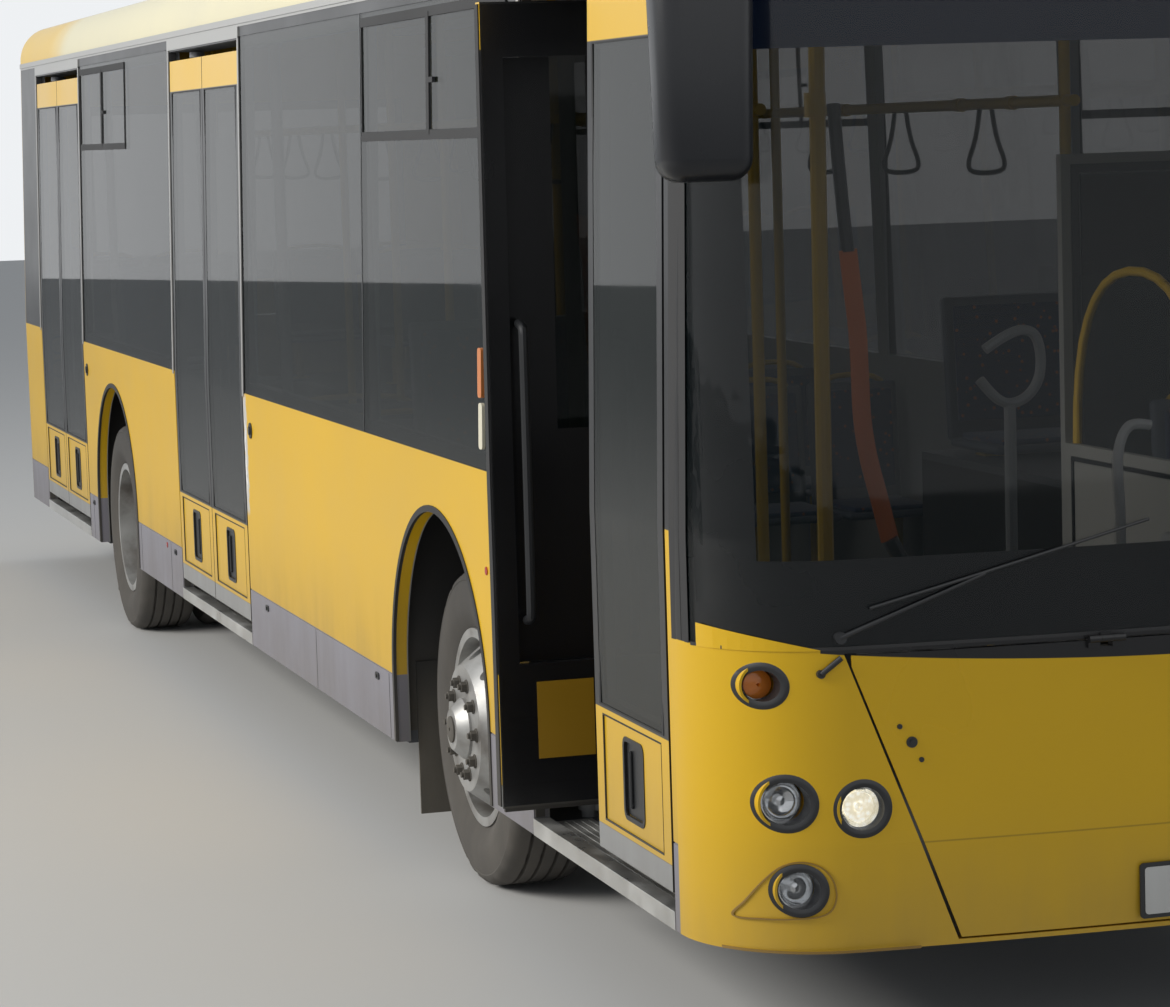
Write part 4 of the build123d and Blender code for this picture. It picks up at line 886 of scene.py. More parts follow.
def addLampLens(bm, centre, axis, r):
    back, rib = lampRim["lensBack"], lampRim["rib"]
    lens = [(-back, rib)] + [(-back + lampRim["dome"] * (1 - (k / 8) ** 2) + rib * (k % 2), (r - 0.008) * k / 8)
                             for k in range(1, 9)]
    lens += [(-back - 0.003, r - 0.008), (-back - 0.003, rib)]
    addTurned(bm, lens, centre, axis, 40)


def addLampBowl(bowls, glows, lit, centre, axis, r):
    # The bowl and the bulb in it; a lit lamp's bulb and its disc glow
    deep = -lampRim["lensBack"] - 0.006
    bowl = [(deep, r - 0.010), (deep - 0.010, r - 0.013), (deep - 0.022, r * 0.55), (deep - 0.028, 0.012),
            (deep - 0.030, 0.012), (deep - 0.030, r * 0.6), (deep - 0.012, r - 0.006), (deep, r - 0.006)]
    addTurned(bowls, bowl, centre, axis, 32)
    bulb = [(deep - 0.028, 0.001), (deep - 0.004, 0.001), (deep - 0.006, 0.011), (deep - 0.028, 0.013)]
    addTurned(glows if lit else bowls, bulb, centre, axis, 20)
    if lit:
        disc = [(deep - 0.010, 0.001), (deep - 0.010, r - 0.020), (deep - 0.014, r - 0.020), (deep - 0.014, 0.001)]
        addTurned(glows, disc, centre, axis, 28)


def addLampSet(shape, lamps, prefix, oldNode):
    ahead = shape["sign"] > 0
    rims, lenses = bmesh.new(), {}
    if ahead:
        bowls, glows = bmesh.new(), bmesh.new()
    axis = Vector((shape["sign"], 0, 0))
    for lamp in lamps.values():
        y, z, r, kind = (lamp[key] for key in ("y", "z", "r", "lens"))
        for hand in (-1, 1):
            centre = Vector((endX(shape, y + r * 0.5, z), hand * y, z))
            addLampRim(rims, shape, centre, axis, r)
            addLampLens(lenses.setdefault(kind, bmesh.new()), centre, axis, r)
            if ahead:
                addLampBowl(bowls, glows, kind == "lit", centre, axis, r)
    finishPiece(rims, prefix + "LampRims", matPlastic, "root", "black_plastic")
    stands = (oldNode,)  # the first lens stands for the frame's lamps
    for kind, mesh in lenses.items():
        finishPiece(mesh, prefix + "Lens_" + kind, lensMaterials[kind], "root", "lamp_lens", stands)
        stands = ()
    if ahead:
        finishPiece(bowls, prefix + "LampBowls", matChrome, "root", "lamp_lens")
        finishPiece(glows, prefix + "LampGlow", matGlow, "root", "lamp_lens")


addLampSet(noseShape, frontLamps, "front", "lamps_front")
addLampSet(tailShape, rearLamps, "rear", "lamps_rear")

# Hatch lock and pins, a blank plate, and dark lines painted as the shade in the folds pressed into the front
lockSpot = (-0.822, 0.834)
pins = ((-0.850, 0.872), (-0.800, 0.792), (0.822, 0.834), (0.850, 0.872), (0.800, 0.792))
makePiece("hatchLock", matPlastic, "front_hatch", "black_plastic", [
    (addDot, frontSkin, *lockSpot, 0.013, -0.003, sunk), (addDot, frontSkin, *lockSpot, 0.006, -0.006, sunk)] + [
    (addDot, frontSkin, *pin, 0.006, -0.003, sunk) for pin in pins])
plate = {"wide": 0.520, "high": 0.112, "border": 0.024}


def addPlate(skin, z, grow, proud, rides, holderName, plateName):
    # A blank plate on its holder; proud: the holder's face, the plate's face and the plate's back
    holder = roundedOutline(0, z, plate["wide"] + plate["border"], plate["high"] + grow, 0.010)
    makePiece(holderName, matPlastic, rides, "black_plastic", [(addShape, skin, holder, -proud[0], sunk)])
    slab = roundedOutline(0, z, plate["wide"], plate["high"], 0.008)
    makePiece(plateName, matPlate, rides, "body_yellow", [(addShape, skin, slab, -proud[1], -proud[2])])


addPlate(frontSkin, 0.4415, 0.020, (0.0040, 0.0055, 0.0030), "front_hatch", "plateHolder", "blankFrontPlate")
lampDrop = [  # teardrop fold round the fog lamp, drawn as a line of painted shade
    (1.212, 0.432), (1.190, 0.470), (1.160, 0.515), (1.125, 0.552), (1.084, 0.566), (1.043, 0.556),
    (1.016, 0.528), (1.006, 0.490), (1.016, 0.455), (1.045, 0.438), (1.100, 0.432), (1.160, 0.430)]


def smoothLoop(points, steps):
    # Closed curve through the points
    count, found = len(points), []
    for k in range(count):
        a, b, c, d = (Vector(points[(k + j) % count]) for j in (-1, 0, 1, 2))
        for step in range(steps):
            t = step / steps
            found.append(tuple(0.5 * (2 * b + (c - a) * t + (2 * a - 5 * b + 4 * c - d) * t ** 2
                                      + (3 * b - a - 3 * c + d) * t ** 3)))
    return found


def lampFolds(bm):
    # Thin darker yellow ribbons, painted as the shade in the teardrop fold round each fog lamp and in the low fold
    for hand in (-1, 1):
        drop = [(hand * u, v) for u, v in smoothLoop(lampDrop, 5)]
        addRibbon(bm, frontSkin, drop, 0.0035, -0.0015, sunk, closed=True)
        fold = [(hand * (0.81 + 0.42 * k / 12), 0.3535) for k in range(13)]
        addRibbon(bm, frontSkin, fold, 0.006, -0.002, sunk)


# Darker yellow for the folds: the body's yellow in painted shade
matFoldShade = finishSurface("foldShade", (0.30, 0.165, 0.004), rough=0.4, grain=90.0, tone=0.1, bump=0.02, dust=0.3)
makePiece("lampFolds", matFoldShade, "root", "body_yellow", [(lampFolds,)])

# Wipers: spindle, arm, link and blade on the windscreen, and the washer jet beside them
wiper = {"spindle": (0.985, 1.085), "elbow": (0.640, 1.215), "tip": (0.235, 1.318), "heel": (0.915, 1.150), "links": 14}


def addWiper(bm, hand):
    spindle, elbow, tip, heel = (wiper[key] for key in ("spindle", "elbow", "tip", "heel"))

    def onGlass(point, off):
        return frontSkin(hand * point[0], point[1], -off)

    addRod(bm, onGlass(spindle, -0.02), onGlass(spindle, 0.011), 0.014, 16)
    addRod(bm, onGlass(spindle, 0.006), onGlass(elbow, 0.011), 0.0065, 10, 0.004)
    count = wiper["links"]
    for k in range(count):
        first, last = ((heel[0] + (tip[0] - heel[0]) * t / count, heel[1] + (tip[1] - heel[1]) * t / count)
                       for t in (k, k + 1))
        addRod(bm, onGlass(first, 0.009), onGlass(last, 0.009), 0.004, 8)
        addRod(bm, onGlass(first, 0.004), onGlass(last, 0.004), 0.0025, 6)
    addRod(bm, onGlass((1.030, 1.003), 0.006), onGlass((0.985, 1.040), 0.008), 0.007, 12)
    addRod(bm, onGlass((1.030, 1.003), -0.010), onGlass((1.030, 1.003), 0.008), 0.010, 14)


makePiece("wiperSet", matPlastic, "root", "black_plastic", [(addWiper, -1), (addWiper, 1)], stands=["wipers"])

# Mirrors: rounded shells on bent arms, the glass facing back
mirror = {
    "y": 1.2825, "wide": 0.233, "deep": 0.138, "top": 2.610, "tall": 0.478, "tipX": 5.998, "taper": 0.10,
    "arm": ((5.925, 1.262, 2.655), (5.860, 1.225, 2.725), (5.74, 1.17, 2.775), (5.60, 1.10, 2.80)),
}


def mirrorShell(bm, hand):
    middle, half = hand * mirror["y"], mirror["wide"] / 2
    addBox(bm, (mirror["tipX"] - mirror["deep"], middle - half, mirror["top"] - mirror["tall"]),
           (mirror["tipX"], middle + half, mirror["top"]), 0.052, 6)
    for vert in bm.verts:  # the shell narrows a little towards its lower end
        down = (mirror["top"] - vert.co.z) / mirror["tall"]
        vert.co.y = middle + (vert.co.y - middle) * (1.0 - mirror["taper"] * down ** 2)


def mirrorBack(u, v, depth):
    return Vector((mirror["tipX"] - mirror["deep"] - 0.001 - depth, u, v))


def mirrorGlass(bm, hand):
    outline = roundedOutline(hand * mirror["y"], mirror["top"] - mirror["tall"] / 2, mirror["wide"] - 0.05,
                             mirror["tall"] - 0.09, 0.030)
    addShape(bm, mirrorBack, outline, 0.0, 0.003)


def mirrorArm(bm, hand):
    foot = (mirror["tipX"] - 0.07, hand * (mirror["y"] - 0.01), mirror["top"] - 0.02)
    addTube(bm, [foot] + [(x, hand * y, z) for x, y, z in mirror["arm"]], 0.017, 12)
    addRod(bm, (5.925, hand * 1.27, 2.585), (5.925, hand * 1.265, 2.635), 0.026, 16, 0.021)


for hand, end in ((-1, "Right"), (1, "Left")):
    makePiece("mirrorShell" + end, matMirror, "root", "black_plastic", [(mirrorShell, hand)],
              stands=["mirrors"] if hand < 0 else ())
    makePiece("mirrorGlass" + end, matChrome, "root", "lamp_lens", [(mirrorGlass, hand)])
    makePiece("mirrorArm" + end, matPlastic, "root", "black_plastic", [(mirrorArm, hand)])
print("front ready")

# Sides: gutter, sashes, arch lips, seams, latches, buttons and markers
sides = {
    "doors": {"front": (4.300, 5.542), "middle": (-1.150, 0.350), "rear": (-5.240, -3.740)},
    "sashRight": ((2.425, 4.160), (-3.670, -2.330)),
    "sashLeft": ((2.425, 4.070), (-1.220, 0.560), (-4.970, -3.140)),
    "sashLow": 2.260, "sashHigh": 2.620, "archRadius": 0.583, "archFoot": 0.353, "gutter": (-5.858, 5.575),
    "seams": (2.62, 1.52, -1.42, -2.20, -3.62), "farSeams": (-5.2, -4.2, -0.3, 0.7, 4.2, 5.2), "seam": (0.352, 0.560),
    "latches": (0.67, 2.46, -1.30, -3.60), "farLatches": (4.60, -4.60), "latchZ": 0.530,
    "flap": (1.25, 0.90, 0.34, 0.30, 0.03), "grille": (-5.70, -5.08), "grilleLow": 0.66,
    "buttons": (0.480, -3.640), "buttonZ": 1.180, "markerX": 3.885, "farMarkers": (-5.4, -2.0, 0.1, 1.9, 4.6),
}


def gutterStrips(bm, skin, name):
    for low, high, proud in ((2.698, 2.722, 0.006), (2.688, 2.698, 0.002)):
        addPatch(bm, skin, sides["gutter"], (low, high), -proud, 0.004, (24, 1))


def sashFrames(bm, skin, name):
    low, high = sides["sashLow"], sides["sashHigh"]
    for first, last in sides["sash" + name]:
        corner = [(first, low), (last, low), (last, high), (first, high)]
        addRibbon(bm, skin, corner, 0.030, -0.0030, 0.0020, closed=True)
        middle = (first + last) / 2
        addRibbon(bm, skin, [(middle, low), (middle, high)], 0.034, -0.0045, 0.0020)
        addRibbon(bm, skin, [(middle + 0.03, low + 0.16), (middle + 0.075, low + 0.16)], 0.016, -0.008, 0.0020)


def archLips(bm, skin, name):
    radius, foot = sides["archRadius"], sides["archFoot"]
    for axle in axles.values():
        x = axle["x"]
        route = [(x + radius, foot), *arcRoute(x, body["seam"], radius, 0, 180, 40), (x - radius, foot)]
        addRibbon(bm, skin, route, 0.020, -0.004, 0.006)


def skirtSeams(bm, skin, name):
    low, high = sides["seam"]
    for x in sides["seams"] + (sides["farSeams"] if name == "Left" else ()):
        addRibbon(bm, skin, [(x, low), (x, high)], 0.004, -0.0006, sunk)
    if name == "Left":  # the filler flap and the grille of the engine bay
        addRibbon(bm, skin, roundedOutline(*sides["flap"]), 0.005, -0.0006, sunk, closed=True)
        for k in range(8):
            z = sides["grilleLow"] + 0.04 * k
            addPatch(bm, skin, sides["grille"], (z, z + 0.018), -0.003, sunk)


def skirtLatches(bm, skin, name):
    z = sides["latchZ"]
    for x in sides["latches"] + (sides["farLatches"] if name == "Left" else ()):
        addShape(bm, skin, roundedOutline(x, z, 0.050, 0.022, 0.009), -0.004, sunk)
        addDot(bm, skin, x, z, 0.006, -0.007, sunk, 12)


for build, name, material, slot in (
        (gutterStrips, "gutter", matTrim, "cream_paint"), (sashFrames, "ventSash", matRubber, "black_plastic"),
        (archLips, "archLip", matRubber, "flap_rubber"), (skirtSeams, "skirtSeam", matPlastic, "black_plastic"),
        (skirtLatches, "skirtLatch", matPlastic, "black_plastic")):
    for skin, end in ((rightSkin, "Right"), (leftSkin, "Left")):
        makePiece(name + end, material, "root", slot, [(build, skin, end)])

makePiece("doorButtons", matPlastic, "root", "black_plastic", [
    (addDot, rightSkin, x, sides["buttonZ"], radius, near, sunk, 24)
    for x in sides["buttons"] for radius, near in ((0.030, -0.004), (0.016, -0.009))])
makePiece("sideReflectors", matRed, "root", "lamp_lens", [
    (addDot, rightSkin, x, z, 0.012, -0.003, sunk, 12) for x, z in ((sides["markerX"], 1.03), (-1.51, 0.54))])
makePiece("sideMarkerOrange", matMarker, "root", "lamp_lens", [
    (addShape, rightSkin, roundedOutline(sides["markerX"], 1.590, 0.040, 0.140, 0.012), -0.010, 0.0012)])
makePiece("sideMarkerWhite", matWhite, "root", "lamp_lens", [
    (addShape, rightSkin, roundedOutline(sides["markerX"], 1.440, 0.040, 0.130, 0.012), -0.008, 0.0012)])
makePiece("sideMarkersLeft", matAmber, "root", "lamp_lens", [
    (addShape, leftSkin, roundedOutline(x, 0.615, 0.090, 0.030, 0.010), -0.006, sunk) for x in sides["farMarkers"]])

# Doorways: posts, their seals, transoms and aluminium sills
sillPlates = (  # y, z and rounding of the edge plate, its lip and the tread
    ((-1.2775, -1.2752), (0.350, 0.3958), 0.0006), ((-1.2775, -1.232), (0.3951, 0.3960), 0.0003),
    ((-1.2298, -1.110), (0.3803, 0.3830), 0.0008))
posts, postSeals, transoms, sills = (bmesh.new() for _ in range(4))
for key, (first, last) in sides["doors"].items():
    for edge, way in ((first, -1), (last, 1)):
        if edge > 5.5:  # the front panel stands there
            continue
        for bm, near, far, upwards, depths, cells in (
                (posts, 0.003, 0.026, (1.302, 2.652), (-0.004, 0.002), 4),
                (postSeals, 0.026, 0.036, (1.312, 2.652), (-0.002, 0.002), 4),
                (postSeals, 0.001, -0.006, (0.400, 2.638), (0.004, 0.030), 6)):
            across = sorted((edge + way * near, edge + way * far))
            addPatch(bm, rightSkin, across, upwards, *depths, (1, cells))
    if key != "front":
        addPatch(transoms, rightSkin, (first - 0.026, last + 0.026), (2.646, 2.688), -0.005, sunk, (4, 1))
    for (y0, y1), (z0, z1), bevel in sillPlates:
        addBox(sills, (first + 0.001, y0, z0), (last - 0.001, y1, z1), bevel, 1)
    for k in range(5):
        y = -1.216 + k * 0.022
        addBox(sills, (first + 0.02, y, 0.3825), (last - 0.02, y + 0.006, 0.3850), 0.0008, 1)
finishPiece(posts, "doorPosts", matTrim, "root", "body_yellow")
finishPiece(postSeals, "doorPostSeals", matRubber, "root", "flap_rubber")
finishPiece(transoms, "doorTransoms", matTrim, "root", "body_yellow")
finishPiece(sills, "doorSillPlates", matSill, "root", "door_gear")
print("sides ready")

# Doors: what each leaf carries, modelled in its closed place and turned with the open leaf
leafPlaces = {"front": (4.316, 0.600), "middle": (-1.134, 0.729), "rear": (-5.224, 0.729)}  # start and width
openLeaf = Matrix(((0, 1, 0, 5.587), (-1, 0, 0, 3.541), (0, 0, 1, 0), (0, 0, 0, 1)))
door = {
    "paneLow": 0.815, "paneHigh": 2.470, "side": 0.042, "thick": 0.040, "gap": 0.010,
    "cupZ": 0.655, "cup": (0.146, 0.186), "railLow": 0.95, "railHigh": 1.75,
}


def leafRubber(bm, first, last, hand):
    edge = last + 0.0022 if hand > 0 else first - 0.0022
    addRibbon(bm, rightSkin, [(edge, 0.445), (edge, 1.31), (edge, 2.595)], 0.0040, 0.001, 0.034)
    addPatch(bm, rightSkin, (first + 0.010, last - 0.010), (0.4275, 0.4405), 0.014, 0.026)
    for inset, low, high, width, near, far in (
            (door["side"], door["paneLow"], door["paneHigh"], 0.014, -0.0015, 0.003),
            (0.060, 0.520, 0.790, 0.005, -0.0008, 0.002)):
        a, b = first + inset, last - inset
        addRibbon(bm, rightSkin, [(a, low), (b, low), (b, high), (a, high)], width, near, far, closed=True)


def leafCup(bm, first, last, hand):
    middle, z = (first + last) / 2, door["cupZ"]
    wide, high = door["cup"]
    addShape(bm, rightSkin, roundedOutline(middle, z, wide, high, 0.020), 0.0095, 0.0118)
    rim = roundedOutline(middle, z, wide + 0.012, high + 0.012, 0.020)
    addRibbon(bm, rightSkin, rim, 0.012, 0.0015, 0.006, closed=True)
    x = middle + hand * 0.03
    addRod(bm, rightSkin(x, z - 0.070, 0.006), rightSkin(x, z + 0.070, 0.006), 0.006, 10)
    for end in (z - 0.065, z + 0.065):
        addRod(bm, rightSkin(x, end, 0.011), rightSkin(x, end, 0.004), 0.008, 10)


def leafLining(bm, first, last, hand):
    inner = door["thick"] + 0.0003
    out = inner + 0.0016
    side0, side1 = first + 0.003, last - 0.003
    pane0, pane1 = first + 0.060, last - 0.060
    for across, upwards, cells in (
            ((side0, side1), (0.446, 0.830), (2, 2)), ((side0, pane0), (0.830, 2.455), (1, 6)),
            ((pane1, side1), (0.830, 2.455), (1, 6)), ((side0, side1), (2.455, 2.594), (2, 1))):
        addPatch(bm, rightSkin, across, upwards, inner, out, cells)
    for z in (0.500, 0.560, 0.620, 0.680, 0.740):
        addRibbon(bm, rightSkin, [(side0 + 0.03, z), (side1 - 0.03, z)], 0.006, out + 0.0012, out - 0.0004)


def leafRail(bm, first, last, hand):
    x = last - 0.085 if hand > 0 else first + 0.085
    low, high = door["railLow"], door["railHigh"]
    route = ((low, 0.041), (low + 0.005, 0.080), (low + 0.03, 0.085), (high - 0.03, 0.085), (high - 0.005, 0.080),
             (high, 0.041))
    addTube(bm, [rightSkin(x, z, depth) for z, depth in route], 0.013, 12)


for doorway, (start, wide) in leafPlaces.items():
    for end, hand, first in (("rear", 1, start), ("front", -1, start + wide + door["gap"])):
        leaf = doorway + "_" + end
        node = "door_" + doorway + "_leaf_" + end
        for build, name, material, slot in (
                (leafRubber, "leafRubber_", matRubber, "flap_rubber"),
                (leafCup, "handleCup_", matPlastic, "black_plastic"),
                (leafLining, "leafLining_", matBlackPaint, "door_paint"),
                (leafRail, "leafRail_", matPlastic, "handrail_paint")):
            makePiece(name + leaf, material, node, slot, [(build, first, first + wide, hand)],
                      place=openLeaf if leaf == "front_rear" else None)
# On the open leaf the inside of the kick panel is drawn in painted shade, a dark ochre patch
makePiece("ochrePanel", matShadedYellow, "door_front_leaf_rear", "door_paint", [
    (addPatch, rightSkin, (4.651, 4.811), (0.570, 0.780), 0.0421, 0.0434)], place=openLeaf)
# Black sheets over the open leaf's pane, leaving a strip clear: painted shade for the dark cabin seen through the glass
makePiece("leafFilm", matBlackPaint, "door_front_leaf_rear", "door_paint", [
    (addPatch, rightSkin, across, upwards, 0.0094, 0.0102, (2, 6)) for across, upwards in (
        ((4.374, 4.621), (0.832, 2.454)), ((4.721, 4.858), (0.832, 2.454)), ((4.621, 4.721), (0.832, 1.460)))],
    place=openLeaf)
print("doors ready")

# Seats: x, y, width, height of what they stand on, and the pan's height above it
seatRows = [
    (2.700, -0.900, 0.600, 1.170, 0.060), (2.700, 0.900, 0.600, 1.170, 0.060), (-3.440, -0.900, 0.520, 1.170, 0.060),
    (-3.440, 0.900, 0.520, 1.170, 0.060), (0.560, -0.900, 0.600, 0.380, 0.440), (1.400, -0.900, 0.600, 0.380, 0.440),
    (-5.000, 0.800, 0.700, 0.950, 0.250), (-5.840, -0.600, 1.000, 0.950, 0.250), (-5.840, 0.600, 1.000, 0.950, 0.250),
    (4.560, 0.700, 0.500, 0.380, 0.640),
] + [(-1.900 + 0.900 * row, 0.820, 0.780, 0.380, 0.440) for row in range(4)]
seat = {"gap": 0.012, "pan": (0.040, 0.430), "back": 0.470, "lean": -5.0, "hem": 0.03, "bench": 0.75}


def seatPlaces(y, width):
    # One seat, or two side by side where the bench is wide enough
    count = 2 if width > seat["bench"] else 1
    each = width / count
    return [(y - width / 2 + each * (k + 0.5), each) for k in range(count)]


shells, cushions, legs = (bmesh.new() for _ in range(3))
for x, y, width, base, rise in seatRows:
    z = base + rise
    for middle, each in seatPlaces(y, width):
        half = each / 2 - seat["gap"]
        soft = half - seat["hem"]
        near, far = (x + reach for reach in seat["pan"])
        addBox(shells, (near, middle - half, z - 0.040), (far, middle + half, z - 0.012), 0.013, 3)
        addBox(cushions, (near + 0.030, middle - soft, z - 0.014), (far - 0.020, middle + soft, z + 0.006), 0.009, 3)
        turn = Matrix.Rotation(radians(seat["lean"]), 4, "Y")
        lean = Matrix.Translation((x + 0.045, middle, z - 0.02)) @ turn
        addBox(shells, (-0.030, -half, 0.0), (0.0, half, seat["back"]), 0.014, 3, place=lean)
        addBox(cushions, (0.002, -soft, 0.06), (0.020, soft, seat["back"] - 0.03), 0.008, 3, place=lean)
        if base < 1.0:  # the low seats have a grab handle along the top of the back
            grip = ((-0.012, -half + 0.05, 0.43), (-0.014, -half + 0.06, 0.475), (-0.014, half - 0.06, 0.475),
                    (-0.012, half - 0.05, 0.43))
            addTube(legs, [(x + a, middle + b, z + c) for a, b, c in grip], 0.011, 10)
    for way in (-1, 1):
        foot = y + way * (width / 2 - 0.10)
        addRod(legs, (x + 0.205, foot, base + 0.002), (x + 0.205, foot, z - 0.035), 0.022, 16)
        addBox(legs, (x + 0.165, foot - 0.05, base + 0.0005), (x + 0.245, foot + 0.05, base + 0.008), 0.003, 1)
finishPiece(shells, "seatShells", matShell, "root", "seat_plastic", ["seats"])
finishPiece(cushions, "seatCushions", matSeat, "root", "seat_plastic")
finishPiece(legs, "seatLegs", matRail, "root", "handrail_paint")

# Rails and hooks: what hangs by the front doorway and along the two ceiling rails
cabin = {
    "doorRail": 5.200, "railY": 0.480, "railZ": 2.300, "strapX": 5.450, "greyX": 5.400, "whiteX": 5.600,
    "drops": ((-4.25, -1), (-1.15, 1), (0.65, 1)), "joints": (3.6, 3.2, 2.2, 1.2, 0.0, -0.9, -1.8, -2.6, -3.3),
    "loops": (3.4, 2.7, 2.0, 1.1, 0.2, -0.6, -1.6, -2.3, -3.0),
    "strap": [(-0.763, 1.95), (-0.752, 1.84), (-0.742, 1.756), (-0.739, 1.64), (-0.737, 1.538), (-0.722, 1.44),
              (-0.695, 1.341), (-0.671, 1.241)],
    "greyLoop": [(-0.406, 1.616), (-0.370, 1.570), (-0.327, 1.550), (-0.280, 1.565), (-0.246, 1.608),
                 (-0.240, 1.670), (-0.257, 1.732), (-0.320, 1.735), (-0.391, 1.689)],
    "whiteLoop": [(-0.129, 1.321), (-0.134, 1.380), (-0.132, 1.443), (-0.115, 1.490), (-0.086, 1.509), (-0.046, 1.499)],
}


def atX(x, points):
    return [(x, y, z) for y, z in points]


bm = bmesh.new()
x = cabin["doorRail"]
addTube(bm, atX(x, ((-0.745, 0.383), (-0.745, 1.200), (-0.742, 2.000), (-0.735, 2.780))), 0.020, 14)
addTube(bm, atX(x, ((-0.300, 1.050), (-0.500, 1.060), (-0.735, 1.060))), 0.017, 12)
addTube(bm, atX(x, ((-0.300, 1.050), (-0.290, 0.70), (-0.290, 0.383))), 0.017, 12)
for z in (1.060, cabin["railZ"]):
    addRod(bm, (x, -0.745, z - 0.03), (x, -0.745, z + 0.03), 0.027, 16)
for x, way in cabin["drops"]:
    route = ((0.0, 2.30), (0.02, 2.40), (0.03, 2.62), (0.03, 2.80))
    addTube(bm, [(x + out, way * cabin["railY"], z) for out, z in route], 0.015, 12)
for x in cabin["joints"]:
    for y in (-cabin["railY"], cabin["railY"]):
        addRod(bm, (x - 0.02, y, cabin["railZ"]), (x + 0.02, y, cabin["railZ"]), 0.0215, 14)
finishPiece(bm, "doorRails", matRail, "root", "handrail_paint")
bm = bmesh.new()
halfLoop = ((0.02, 2.285), (0.03, 2.20), (0.065, 2.12), (0.05, 2.09))
for x in cabin["loops"]:
    for y in (-cabin["railY"], cabin["railY"]):
        loop = [(y - out, z) for out, z in halfLoop] + [(y + out, z) for out, z in reversed(halfLoop)]
        addTube(bm, atX(x, loop), 0.008, 8)
finishPiece(bm, "hangingLoops", matPlastic, "root", "black_plastic")
bm = bmesh.new()
addTube(bm, atX(cabin["strapX"], cabin["strap"]), 0.024, 14, 5)
for vert in bm.verts:  # the strap is flat, edge on to the windscreen
    vert.co.x = cabin["strapX"] + (vert.co.x - cabin["strapX"]) * 0.30
finishPiece(bm, "orangeStrap", matOrange, "root", "handrail_paint")
makePiece("strapHolder", matPlastic, "root", "handrail_paint", [
    (addTube, [(5.450, -0.671, 1.245), (5.445, -0.640, 1.180), (5.430, -0.560, 1.100), (5.400, -0.500, 1.050)],
     0.020, 12),
    (addTube, [(5.450, -0.763, 1.945), (5.440, -0.775, 2.100), (5.420, -0.780, 2.300)], 0.016, 12)])
makePiece("cabLoop", matGrey, "root", "handrail_paint", [
    (addTube, atX(cabin["greyX"], cabin["greyLoop"]), 0.013, 12, 5),
    (addTube, [(5.400, -0.327, 1.550), (5.395, -0.325, 1.400), (5.380, -0.320, 1.200), (5.380, -0.320, 1.030)],
     0.015, 12)])
makePiece("microphoneArm", matPlate, "root", "interior_plastic", [
    (addTube, atX(cabin["whiteX"], cabin["whiteLoop"]), 0.013, 12, 5),
    (addTube, atX(cabin["whiteX"], ((-0.129, 1.325), (-0.127, 1.200), (-0.125, 1.030))), 0.013, 12)])

# Dashboard: binnacle, switches, shelf, vents, stalk, dials and a ticket machine
dash = {"faceX": 5.477, "dials": ((0.50, 0.030), (0.60, 0.046), (0.74, 0.046), (0.84, 0.030)), "dialZ": 1.060}
makePiece("dashTop", matPlastic, "root", "interior_plastic", [
    (addBox, (5.480, 0.440, 1.028), (5.780, 0.900, 1.100), 0.024, 4),
    (addBox, (5.445, 0.300, 0.972), (5.500, 0.430, 1.060), 0.010, 3),
    (addBox, (5.500, -0.250, 1.028), (5.760, 0.260, 1.056), 0.012, 3)] + [
    (addBox, (5.770, -0.22 + k * 0.070, 1.029), (5.835, -0.168 + k * 0.070, 1.037), 0.002, 1) for k in range(7)] + [
    (addBox, (5.3265, -0.30 + k * 0.05, 0.820), (5.332, -0.268 + k * 0.05, 0.860), 0.002, 1) for k in range(8)] + [
    (addTube, [(5.42, 0.645, 1.02), (5.36, 0.60, 1.06), (5.34, 0.56, 1.07)], 0.007, 8)])
bm = bmesh.new()
for y, radius in dash["dials"]:
    rim = [(-0.002, 0.001), (-0.002, radius - 0.006), (0.004, radius - 0.002), (0.004, radius),
           (-0.003, radius + 0.002), (-0.006, radius + 0.002), (-0.006, 0.001)]
    z = dash["dialZ"] + (0.002 if radius < 0.04 else 0.0)
    addTurned(bm, rim, (dash["faceX"], y, z), (-1, 0, 0), 28)
finishPiece(bm, "dialRims", matTrim, "root", "interior_plastic")
makePiece("ticketMachine", matGrey, "root", "interior_plastic", [
    (addBox, (5.300, -0.200, 0.790), (5.420, 0.080, 1.150), 0.020, 3),
    (addBox, (5.290, -0.170, 1.000), (5.302, 0.050, 1.120), 0.006, 2),
    (addBox, (5.320, 0.110, 1.000), (5.400, 0.220, 1.200), 0.014, 3)])


# Cab partition: a pane in a frame, and a low glass screen beside the seat
def cabWall(u, v, depth):
    return Vector((4.4305 + depth, u, v))


def cabGate(u, v, depth):
    return Vector((u, 0.2595 - depth, v))


bm = bmesh.new()
addRibbon(bm, cabWall, [(0.30, 1.26), (1.16, 1.26), (1.16, 2.11), (0.30, 2.11)], 0.034, 0.0, 0.006, closed=True)
addRibbon(bm, cabGate, [(4.48, 0.42), (5.21, 0.42), (5.21, 1.31), (4.48, 1.31)], 0.020, 0.0, 0.003, closed=True)
finishPiece(bm, "cabFrame", matPlastic, "root", "interior_plastic")
makePiece("cabPane", matDash, "root", "interior_plastic", [
    (addPatch, cabWall, (0.317, 1.143), (1.277, 2.093), 0.0, 0.004)])
makePiece("cabScreen", matCabGlass, "root", "interior_plastic", [
    (addBox, (4.500, 0.270, 1.352), (5.240, 0.278, 1.820), 0.002, 1)])
makePiece("cabScreenRail", matRail, "root", "handrail_paint", [
    (addTube, [(4.480, 0.274, 1.352), (4.480, 0.274, 1.840), (5.255, 0.274, 1.840), (5.255, 0.274, 1.352)],
     0.013, 12, 6)])

